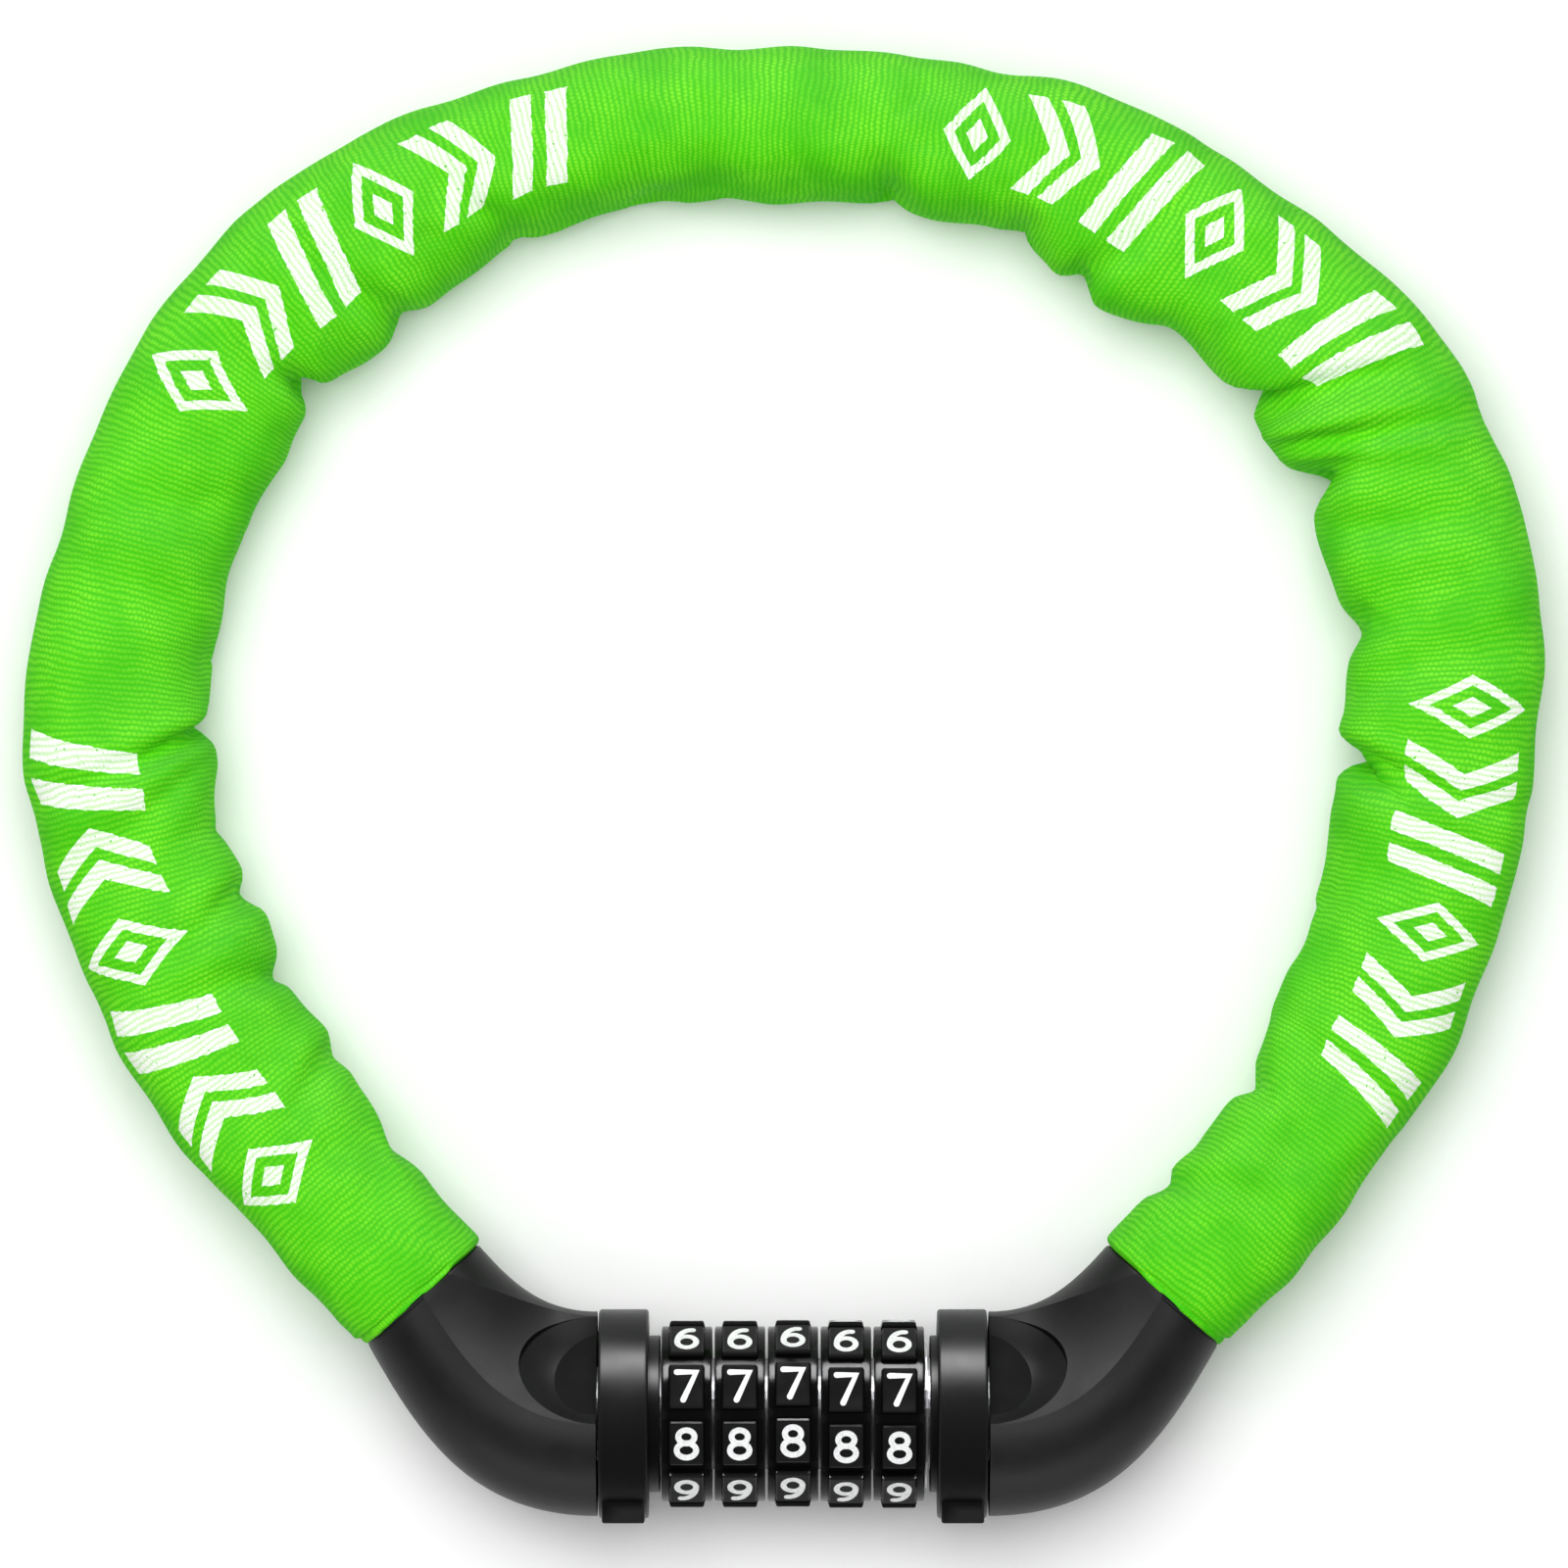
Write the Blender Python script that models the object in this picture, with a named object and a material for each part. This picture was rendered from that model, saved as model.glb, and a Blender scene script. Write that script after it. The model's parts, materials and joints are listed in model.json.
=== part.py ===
"""A five-dial combination chain lock, lying flat.

The barrel of number dials lies along X, the chain loop runs round towards +Y, and +Z is up. Lengths
below are in millimetres, measured from the middle of the barrel, and MM turns them into metres.
"""

from math import cos, radians, sin, tau

import bmesh
import bpy
import numpy as np
from mathutils import Matrix, Vector
from mathutils.geometry import interpolate_bezier

MM = 0.001
GAP = 0.3  # left between pieces that touch
PAST = 1.0  # how far a cutter, or a piece to be joined on, reaches past the surface it goes through
THROUGH = 30.0  # length of a cutter that goes right through a piece

# Where the middle of the barrel stands: the origin is under the middle of the whole lock.
BARREL_X, BARREL_Y = 1.9, -93.0

# Collars and barrel axis
COLLAR_RADIUS = 15.2
BARREL_Z = COLLAR_RADIUS  # the collars rest on the floor
COLLAR_INNER_X, COLLAR_OUTER_X = 21.0, 28.2
COLLAR_EDGE = 0.45
NECK_RADIUS, NECK_X = 11.4, 19.3
COLLAR_BORE_RADIUS = 8.5
FOOT_FRONT, FOOT_HALF_HEIGHT, FOOT_MARGIN = 15.4, 9.0, 0.5

# Number dials
DIAL_COUNT, DIGITS = 5, 10
DIAL_PITCH, DIAL_WIDTH = 7.7, 7.3
DIAL_BORE_RADIUS, DIAL_RIM_RADIUS, DIAL_PAD_RADIUS = 10.9, 12.7, 13.9
PAD_WIDTH, PAD_SLOPE = 5.2, 0.2
PAD_HALF_ANGLE, PAD_FOOT_ANGLE = 13.6, 14.6
FIRST_PAD_ANGLE = 20.0  # from straight up, towards +Y
DIAL_PLAY = (0.5, 0.5, 2.4, -1.4, -2.0)  # degrees that each dial stands off its click

# Code rings and bolt
RING_INNER_RADIUS, RING_OUTER_RADIUS = DIAL_BORE_RADIUS - 2.4, DIAL_BORE_RADIUS - GAP
RING_START, RING_END = -3.2, 0.8  # along X, from the middle of the ring's dial
NOTCH_WIDTH, NOTCH_RADIUS = 3.8, 10.0
BOLT_RADIUS, BOLT_BORE_RADIUS = 3.0, 3.4
BOLT_TAIL_X, BOLT_TIP_X = -30.0, 19.0
TOOTH_START, TOOTH_END = 1.3, 3.3  # along X, from the middle of the tooth's dial
TOOTH_WIDTH, TOOTH_REACH = 3.0, 9.7

# Barrel core, with the clip, washer and detent strip on it
CORE_RADIUS, CORE_LEFT_X, CORE_RIGHT_X = 8.2, -20.9, 22.6
CORE_SHANK_RADIUS, CORE_SHANK_X = 4.0, 30.0
SLOT_WIDTH, SLOT_END_X = 3.6, 19.3
CLIP_INNER_RADIUS, CLIP_OUTER_RADIUS = 7.6, 10.0
CLIP_START_X, CLIP_END_X = -19.95, -19.35
CLIP_GROOVE_RADIUS, CLIP_GROOVE_MARGIN = 7.3, 0.3
CLIP_OPENING, CLIP_STEPS = 44.0, 16  # degrees, at the bolt's slot
RECESS_RADIUS, RECESS_X, RECESS_WALL = 10.5, 21.4, 1.2  # takes the core's left end in
WASHER_OUTER_RADIUS, WASHER_X, WASHER_THICKNESS, WASHER_WAVE = 10.8, 19.37, 0.25, 0.06
STRIP_WIDTH, STRIP_LENGTH = 3.0, 36.0
STRIP_INNER_RADIUS, STRIP_OUTER_RADIUS, STRIP_BUMP = 7.1, 7.65, 0.5

# Elbows, as the two edges seen from above: Bezier points of the right one, from collar to mouth
ELBOW_OUTER_EDGE = ((28.5, -14.87), (47.5, -14.87), (54.8, -2.35), (62.2, 10.7))
ELBOW_INNER_EDGE = ((28.5, 14.87), (36.3, 14.87), (40.65, 18.66), (45.9, 24.7))
ELBOW_BORE_RADIUS = (7.7, 9.7)  # at the collar, mouth
FACET_START_ANGLE = (-3.0, 2.2)  # degrees from straight up towards the loop: at the collar, mouth
FACET_END_ANGLE = (76.0, 29.0)
FACET_TAPER_FROM = 0.45  # the facet narrows over the rest of the elbow
THUMB_LEAN = 36.5  # degrees from straight up, towards the loop
THUMB_LENGTH, THUMB_HALF_WIDTH, THUMB_FACET = 11.2, 9.4, 11.5
THUMB_FLOOR_LENGTH, THUMB_FLOOR_HALF_WIDTH = 6.1, 7.0
THUMB_FLOOR_DEEP, THUMB_FLOOR_SHALLOW = 8.9, 10.6  # from the barrel's axis
THUMB_CUT_HEIGHT = 8.0

# Chain: 21 links of 5 mm wire, alternately flat and upright
LINK_COUNT = 21
WIRE_RADIUS, LINK_INNER_WIDTH, LINK_INNER_LENGTH, LINK_GAP = 2.5, 6.0, 24.37, 0.45
FLAT_LINK_STEP = LINK_INNER_LENGTH - 2 * (WIRE_RADIUS + LINK_GAP)  # from pivot to pivot
BEND_POINTS = 7  # round each end of a link
UPRIGHT_LINK_STEP = LINK_INNER_LENGTH + 2 * WIRE_RADIUS
PIN_RADIUS, PIN_DEPTH = 2.5, 7.0  # the anchor pin's axis lies this far inside the mouth

# Chain anchors
ANCHOR_HALF_WIDTH, ANCHOR_HALF_HEIGHT = 5.5, 5.2
ANCHOR_BOSS_RADIUS, ANCHOR_NECK_RADIUS = COLLAR_BORE_RADIUS - GAP, 6.8
ANCHOR_BOSS_START, ANCHOR_BOSS_END, ANCHOR_NECK_END = 23.2, 28.2, 31.5
ANCHOR_FORK_PAST_PIN, FORK_SLOT_BEHIND_PIN, FORK_SLOT_HALF_HEIGHT = 4.5, 9.0, 2.9
CROSS_PIN_RADIUS, CROSS_PIN_LENGTH, CROSS_PIN_X = 1.2, 16.0, 26.0

# Sleeve: its centre line, from the right mouth round to the left one, as X, Y and height
SLEEVE_HALF_WIDTH, SLEEVE_HALF_HEIGHT, SLEEVE_THICKNESS = 13.2, 11.8, 0.9
LIE, DIP = SLEEVE_HALF_HEIGHT + 0.1, 13.2  # heights of the centre line: lying on the floor, going down
SLEEVE_ROUTE = (
    (69.0, 32.7, DIP), (85.3, 60.2, LIE), (93.5, 91.7, LIE), (92.2, 125.7, LIE), (76.4, 156.9, LIE),
    (47.6, 176.4, LIE), (15.5, 187.2, LIE), (-18.1, 186.8, LIE), (-50.8, 177.3, LIE),
    (-78.8, 156.8, LIE), (-94.1, 125.5, LIE), (-97.9, 91.7, LIE), (-87.6, 60.3, LIE),
    (-69.7, 34.3, DIP),
)
MOUTH = (54.05, 17.7, BARREL_Z)
MOUTH_HEADING = radians(49.6)
STRAIGHT_LENGTH = 8.0  # the sleeve leaves the mouth straight for this far
# Distance outside the mouth, then half width, half height and thickness there
SLEEVE_END = (
    (-3.2, 8.75, 8.75, 0.3), (-0.4, 8.75, 8.75, 0.3), (0.6, 10.2, 10.2, 0.9), (3.0, 11.2, 11.0, 0.9),
    (9.0, 12.2, 11.4, 0.9), (18.0, 12.9, 11.6, 0.9),
)
SLEEVE_STEP, SLEEVE_SIDES = 16.0, 12
CRIMP_INNER_RADIUS, CRIMP_OUTER_RADIUS, CRIMP_DEPTHS, CRIMP_SIDES = 8.85, 9.1, (0.8, 2.2), 32

BLACK_PLASTIC = ("black_plastic", (0.022, 0.022, 0.024), 0.5, 0.0)
SATIN_BLACK = ("satin_black", (0.02, 0.02, 0.022), 0.32, 0.0)
GLOSS_BLACK = ("gloss_black", (0.012, 0.012, 0.013), 0.2, 0.0)
BRASS = ("brass", (0.62, 0.44, 0.17), 0.32, 1.0)
BOLT_STEEL = ("bolt_steel", (0.62, 0.62, 0.64), 0.22, 1.0)
SPRING_STEEL = ("spring_steel", (0.42, 0.42, 0.44), 0.3, 1.0)
CHAIN_STEEL = ("chain_steel", (0.48, 0.49, 0.52), 0.38, 1.0)
CAST_ZINC = ("cast_zinc", (0.5, 0.5, 0.52), 0.45, 1.0)
GREEN_FABRIC = ("green_fabric", (0.07, 0.68, 0.02), 0.85, 0.0)

TOWARDS_X = Matrix.Rotation(tau / 4, 4, "Y")  # turns +Z to +X


# ---------------------------------------------------------------- scene, materials, objects


def clear_scene():
    for obj in list(bpy.data.objects):
        bpy.data.objects.remove(obj, do_unlink=True)


def material(name, colour, roughness, metallic):
    made = bpy.data.materials.get(name)
    if made is None:
        made = bpy.data.materials.new(name)
        made.use_nodes = True
        surface = made.node_tree.nodes["Principled BSDF"]
        surface.inputs["Base Color"].default_value = (*colour, 1.0)
        surface.inputs["Roughness"].default_value = roughness
        surface.inputs["Metallic"].default_value = metallic
    return made


def place(name, data, finish, at=(0, 0, 0), turn=None):
    """Links an object under the lock's frame, at a point in millimetres, and shades it smooth."""
    obj = bpy.data.objects.new(name, data)
    bpy.context.scene.collection.objects.link(obj)
    obj.parent = bpy.data.objects["lock_frame"]
    obj.matrix_local = Matrix.Translation(Vector(at) * MM) @ (turn or Matrix())
    if not data.materials:
        data.materials.append(material(*finish))
    if isinstance(data, bpy.types.Mesh):
        data.shade_smooth()
        data.set_sharp_from_angle(angle=radians(30))
    return obj


def mesh_from(bm, name):
    """The bmesh, drawn in millimetres, as a mesh in metres with its faces turned outwards."""
    bmesh.ops.scale(bm, vec=(MM, MM, MM), verts=bm.verts)
    bmesh.ops.recalc_face_normals(bm, faces=bm.faces)
    mesh = bpy.data.meshes.new(name)
    bm.to_mesh(mesh)
    bm.free()
    return mesh


def piece(name, bm, finish, at=(0, 0, 0)):
    return place(name, mesh_from(bm, name), finish, at)


def combine(obj, bm, operation):
    """Cuts the bmesh's shape out of the object, or joins it on, in the frame's coordinates."""
    helper = place(f"{obj.name}_{len(obj.modifiers) + 1}", mesh_from(bm, obj.name), CAST_ZINC)
    helper.hide_render = True
    helper.display_type = "WIRE"
    modifier = obj.modifiers.new(operation.lower(), "BOOLEAN")
    modifier.object = helper
    modifier.operation = operation


# ---------------------------------------------------------------- shapes


def box(low, high, turn=None):
    low, high = Vector(low), Vector(high)
    size = Matrix.Diagonal((*(high - low), 1))
    bm = bmesh.new()
    matrix = (turn or Matrix()) @ Matrix.Translation((low + high) / 2) @ size
    bmesh.ops.create_cube(bm, size=1, matrix=matrix)
    return bm


def rod(radius, length, middle, turn=None, sides=20):
    bm = bmesh.new()
    matrix = Matrix.Translation(Vector(middle)) @ (turn or Matrix())
    bmesh.ops.create_cone(
        bm, cap_ends=True, segments=sides, radius1=radius, radius2=radius, depth=length, matrix=matrix
    )
    return bm


def looped(rings):
    """A surface through rings of points that closes on itself both ways, as a tube's wall does."""
    bm = bmesh.new()
    rows = [[bm.verts.new(point) for point in ring] for ring in rings]
    for row, following in zip(rows, rows[1:] + rows[:1]):
        for i in range(len(row)):
            j = (i + 1) % len(row)
            bm.faces.new((row[i], row[j], following[j], following[i]))
    return bm


def capped(rings):
    """A solid through rings of points, closed by a face at each end."""
    bm = bmesh.new()
    rows = [[bm.verts.new(point) for point in ring] for ring in rings]
    for row, following in zip(rows, rows[1:]):
        for i in range(len(row)):
            j = (i + 1) % len(row)
            bm.faces.new((row[i], row[j], following[j], following[i]))
    bm.faces.new(rows[0])
    bm.faces.new(rows[-1])
    return bm


def turned(profile, z=0.0, sides=40, wave=0.0):
    """A hollow piece turned about an axis along X, from the (x, radius) corners of its section."""
    rings = []
    for x, radius in profile:
        angles = [tau * (k + 0.5) / sides for k in range(sides)]
        rings.append(
            [(x + wave * cos(3 * a), radius * sin(a), z + radius * cos(a)) for a in angles]
        )
    return looped(rings)


def smooth_line(points, steps=24):
    """A smooth curve through the points, whose direction at each is that between its neighbours."""
    points = [Vector(p) for p in points]
    spans = [(b - a).length for a, b in zip(points, points[1:])]
    ways = [(points[1] - points[0]).normalized()]
    for i in range(1, len(points) - 1):
        ways.append((points[i + 1] - points[i - 1]) / (spans[i - 1] + spans[i]))
    ways.append((points[-1] - points[-2]).normalized())
    found = []
    for i, span in enumerate(spans):
        handles = points[i] + ways[i] * span / 3, points[i + 1] - ways[i + 1] * span / 3
        found += interpolate_bezier(points[i], *handles, points[i + 1], steps + 1)[:-1]
    return [*found, points[-1]]


def lengths_along(line):
    return np.cumsum([0.0, *((b - a).length for a, b in zip(line, line[1:]))])


def point_at(line, lengths, distance):
    """The point of the line at this distance from its start, and the line's direction there."""
    i = int(np.clip(np.searchsorted(lengths, distance) - 1, 0, len(line) - 2))
    share = (distance - lengths[i]) / (lengths[i + 1] - lengths[i])
    return line[i].lerp(line[i + 1], share), (line[i + 1] - line[i]).normalized()


def bezier(points, t):
    """A point of a cubic Bezier curve."""
    weights = ((1 - t) ** 3, 3 * t * (1 - t) ** 2, 3 * t**2 * (1 - t), t**3)
    return sum((Vector(p) * w for p, w in zip(points, weights)), Vector((0, 0)))


def ease(pair, t):
    return pair[0] + (pair[1] - pair[0]) * t


# ---------------------------------------------------------------- barrel


def dial_x(number):
    return (number - (DIAL_COUNT - 1) / 2) * DIAL_PITCH


def barrel_core():
    """The tube that the dials turn on, slotted towards -Y for the bolt's teeth."""
    middle = (CORE_LEFT_X + CORE_RIGHT_X) / 2
    length = CORE_RIGHT_X - CORE_LEFT_X
    core = piece(
        "barrel_core", rod(CORE_RADIUS, length, (middle, 0, BARREL_Z), TOWARDS_X, 40), CAST_ZINC
    )
    shank = CORE_SHANK_X - CORE_RIGHT_X + PAST
    at = (CORE_SHANK_X - shank / 2, 0, BARREL_Z)
    combine(core, rod(CORE_SHANK_RADIUS, shank, at, TOWARDS_X), "UNION")
    bore = SLOT_END_X - CORE_LEFT_X + PAST
    at = (SLOT_END_X - bore / 2, 0, BARREL_Z)
    combine(core, rod(BOLT_BORE_RADIUS, bore, at, TOWARDS_X), "DIFFERENCE")
    half, front = SLOT_WIDTH / 2, -CORE_RADIUS - PAST
    start, low, high = CORE_LEFT_X - PAST, BARREL_Z - half, BARREL_Z + half
    combine(core, box((start, front, low), (SLOT_END_X, 0, high)), "DIFFERENCE")
    half, reach = STRIP_WIDTH / 2 + GAP, STRIP_LENGTH / 2 + GAP
    low, high = (-reach, STRIP_INNER_RADIUS - GAP, -half), (reach, CORE_RADIUS + PAST, half)
    turn = Matrix.Translation((0, 0, BARREL_Z))
    combine(core, box(low, high, turn), "DIFFERENCE")
    margin = CLIP_GROOVE_MARGIN
    combine(core, turned(groove_section(margin), BARREL_Z), "DIFFERENCE")
    combine(core, rod(CROSS_PIN_RADIUS + GAP, THROUGH, (CROSS_PIN_X, 0, BARREL_Z)), "DIFFERENCE")


def groove_section(margin):
    start, end, far = CLIP_START_X - margin, CLIP_END_X + margin, CORE_RADIUS + PAST
    return (
        (start, far), (end, far), (end, CLIP_GROOVE_RADIUS), (start, CLIP_GROOVE_RADIUS)
    )


def retaining_clip():
    """An open ring in the core's groove, which keeps the dials on."""
    rings, opening = [], radians(CLIP_OPENING) / 2
    for k in range(CLIP_STEPS + 1):
        a = tau / 2 + opening + (tau - 2 * opening) * k / CLIP_STEPS
        corners = (
            (CLIP_START_X, CLIP_INNER_RADIUS), (CLIP_END_X, CLIP_INNER_RADIUS),
            (CLIP_END_X, CLIP_OUTER_RADIUS), (CLIP_START_X, CLIP_OUTER_RADIUS),
        )
        rings.append([(x, r * cos(a), BARREL_Z + r * sin(a)) for x, r in corners])
    piece("retaining_clip", capped(rings), SPRING_STEEL)


def wave_washer():
    start, end = WASHER_X - WASHER_THICKNESS / 2, WASHER_X + WASHER_THICKNESS / 2
    outer, inner = WASHER_OUTER_RADIUS, COLLAR_BORE_RADIUS
    section = (start, outer), (end, outer), (end, inner), (start, inner)
    piece("wave_washer", turned(section, BARREL_Z, 24, WASHER_WAVE), SPRING_STEEL)


def detent_strip():
    """A springy strip along the core's far side, with a bump that each code ring clicks over."""
    half = STRIP_WIDTH / 2
    low = (-STRIP_LENGTH / 2, STRIP_INNER_RADIUS, BARREL_Z - half)
    high = (STRIP_LENGTH / 2, STRIP_OUTER_RADIUS, BARREL_Z + half)
    strip = piece("detent_strip", box(low, high), SPRING_STEEL)
    for number in range(DIAL_COUNT):
        x = dial_x(number) + (RING_START + RING_END) / 2
        bump = rod(STRIP_BUMP, STRIP_WIDTH - GAP, (x, STRIP_OUTER_RADIUS, BARREL_Z), sides=12)
        combine(strip, bump, "UNION")


def number_dial(number):
    """A ring with ten raised pads between two plain rims. Its origin is on the barrel's axis."""
    angles = []
    for digit in range(DIGITS):
        middle = FIRST_PAD_ANGLE + digit * 360 / DIGITS + DIAL_PLAY[number]
        offsets = -PAD_FOOT_ANGLE, -PAD_HALF_ANGLE, PAD_HALF_ANGLE, PAD_FOOT_ANGLE
        angles += [(radians(middle + o), abs(o) < PAD_FOOT_ANGLE) for o in offsets]
    half, pad = DIAL_WIDTH / 2, PAD_WIDTH / 2
    stations = (
        (-half, DIAL_RIM_RADIUS, DIAL_RIM_RADIUS), (-pad, DIAL_RIM_RADIUS, DIAL_RIM_RADIUS),
        (-pad + PAD_SLOPE, DIAL_PAD_RADIUS, DIAL_RIM_RADIUS),
        (pad - PAD_SLOPE, DIAL_PAD_RADIUS, DIAL_RIM_RADIUS),
        (pad, DIAL_RIM_RADIUS, DIAL_RIM_RADIUS), (half, DIAL_RIM_RADIUS, DIAL_RIM_RADIUS),
        (half, DIAL_BORE_RADIUS, DIAL_BORE_RADIUS), (-half, DIAL_BORE_RADIUS, DIAL_BORE_RADIUS),
    )
    rings = [
        [(x, (high if on_pad else low) * sin(a), (high if on_pad else low) * cos(a))
         for a, on_pad in angles]
        for x, high, low in stations
    ]
    at = (dial_x(number), 0, BARREL_Z)
    piece(f"number_dial_{number + 1}", looped(rings), GLOSS_BLACK, at)


def code_ring(number):
    """The notched ring inside a dial. The bolt's tooth passes only where its notch stands."""
    section = (
        (RING_START, RING_OUTER_RADIUS), (RING_END, RING_OUTER_RADIUS),
        (RING_END, RING_INNER_RADIUS), (RING_START, RING_INNER_RADIUS),
    )
    x = dial_x(number)
    ring = piece(f"code_ring_{number + 1}", turned(section, sides=24), BRASS, (x, 0, BARREL_Z))
    half = NOTCH_WIDTH / 2
    low = (x + RING_START - PAST, -NOTCH_RADIUS, BARREL_Z - half)
    high = (x + RING_END + PAST, 0, BARREL_Z + half)
    combine(ring, box(low, high), "DIFFERENCE")


def lock_bolt():
    """The bolt, with a tooth towards -Y behind each code ring."""
    length = BOLT_TIP_X - BOLT_TAIL_X
    at = ((BOLT_TIP_X + BOLT_TAIL_X) / 2, 0, BARREL_Z)
    bolt = piece("lock_bolt", rod(BOLT_RADIUS, length, at, TOWARDS_X), BOLT_STEEL)
    half = TOOTH_WIDTH / 2
    for number in range(DIAL_COUNT):
        x = dial_x(number)
        low = (x + TOOTH_START, -TOOTH_REACH, BARREL_Z - half)
        high = (x + TOOTH_END, BOLT_RADIUS / 3, BARREL_Z + half)
        combine(bolt, box(low, high), "UNION")
    hole = rod(CROSS_PIN_RADIUS + GAP, THROUGH, (-CROSS_PIN_X, 0, BARREL_Z))
    combine(bolt, hole, "DIFFERENCE")


def cross_pin(name, x):
    piece(name, rod(CROSS_PIN_RADIUS, CROSS_PIN_LENGTH, (x, 0, BARREL_Z), sides=16), BOLT_STEEL)


def collar(name, side):
    """The collar at one end of the barrel, with its neck, and a flat foot towards -Y."""
    edge, radius = COLLAR_EDGE, COLLAR_RADIUS
    if side > 0:
        inside = ((NECK_X + 2 * GAP, COLLAR_BORE_RADIUS), (COLLAR_OUTER_X, COLLAR_BORE_RADIUS))
    else:
        wall = RECESS_X + RECESS_WALL
        inside = (
            (NECK_X, RECESS_RADIUS), (RECESS_X, RECESS_RADIUS), (RECESS_X, BOLT_BORE_RADIUS),
            (wall, BOLT_BORE_RADIUS), (wall, COLLAR_BORE_RADIUS), (COLLAR_OUTER_X, COLLAR_BORE_RADIUS),
        )
    section = (
        *inside, (COLLAR_OUTER_X, radius - edge), (COLLAR_OUTER_X - edge, radius),
        (COLLAR_INNER_X + edge, radius), (COLLAR_INNER_X, radius - edge),
        (COLLAR_INNER_X, NECK_RADIUS), (inside[0][0], NECK_RADIUS),
    )
    made = piece(name, turned([(side * x, r) for x, r in section], BARREL_Z, 36), SATIN_BLACK)
    near, far = sorted((side * (COLLAR_INNER_X + FOOT_MARGIN), side * (COLLAR_OUTER_X - FOOT_MARGIN)))
    low = (near, -FOOT_FRONT, BARREL_Z - FOOT_HALF_HEIGHT)
    high = (far, -COLLAR_BORE_RADIUS - PAST, BARREL_Z + FOOT_HALF_HEIGHT)
    combine(made, box(low, high), "UNION")


# ---------------------------------------------------------------- elbows


def elbow_section(t):
    """The middle, radius and direction towards the loop of the right elbow's section."""
    outer, inner = bezier(ELBOW_OUTER_EDGE, t), bezier(ELBOW_INNER_EDGE, t)
    middle, across = (outer + inner) / 2, (inner - outer).normalized()
    return Vector((*middle, BARREL_Z)), (inner - outer).length / 2, Vector((*across, 0))


def mirrored(points, side):
    return [(side * x, y, z) for x, y, z in points]


def around(middle, across, radius, angles):
    """Points round a section, at angles from straight up towards the direction across."""
    up = Vector((0, 0, 1))
    return [middle + (across * sin(a) + up * cos(a)) * radius for a in angles]


def facet_angles(t):
    narrowing = min(1.0, (1 - t) / (1 - FACET_TAPER_FROM))
    end = ease((FACET_END_ANGLE[1], FACET_END_ANGLE[0]), narrowing)
    return radians(ease(FACET_START_ANGLE, t)), radians(end)


def elbow_shell(name, side, stations=8, facet_points=3, round_points=17):
    """The hollow elbow, with a flat facet along its top and a thumb recess by the collar."""
    outside, bore = [], []
    for k in range(stations + 1):
        t = k / stations
        middle, radius, across = elbow_section(t)
        start, end = facet_angles(t)
        first, last = around(middle, across, radius, (start, end))
        flat = [first.lerp(last, i / facet_points) for i in range(facet_points)]
        rest = [end + (start + tau - end) * i / round_points for i in range(round_points)]
        outside.append(mirrored(flat + around(middle, across, radius, rest), side))
        inner = ease(ELBOW_BORE_RADIUS, t)
        count = facet_points + round_points
        angles = [start + tau * i / count for i in range(count)]
        bore.append(mirrored(around(middle, across, inner, angles), side))
    shell = piece(name, looped(outside + bore[::-1]), BLACK_PLASTIC)
    combine(shell, thumb_recess(side), "DIFFERENCE")


def thumb_recess(side, sides=20):
    """A scoop, half oval from above, whose floor rises towards the collar."""
    lean = radians(THUMB_LEAN)
    out, along = Vector((0, sin(lean), cos(lean))), Vector((0, cos(lean), -sin(lean)))
    start = Vector((ELBOW_OUTER_EDGE[0][0] - PAST, 0, BARREL_Z))
    rings = []
    for length, half_width, lifted in (
        (THUMB_FLOOR_LENGTH, THUMB_FLOOR_HALF_WIDTH, False), (THUMB_LENGTH, THUMB_HALF_WIDTH, True),
    ):
        ring = []
        for k in range(sides + 1):
            a = tau / 2 * k / sides
            x = (length + PAST) * sin(a)
            floor = ease((THUMB_FLOOR_SHALLOW, THUMB_FLOOR_DEEP), x / (THUMB_FLOOR_LENGTH + PAST))
            height = THUMB_FACET if lifted else floor
            ring.append(start + Vector((x, 0, 0)) + along * half_width * cos(a) + out * height)
        rings.append(ring)
    rings.append([point + out * THUMB_CUT_HEIGHT for point in rings[-1]])
    return capped([mirrored(ring, side) for ring in rings])


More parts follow.
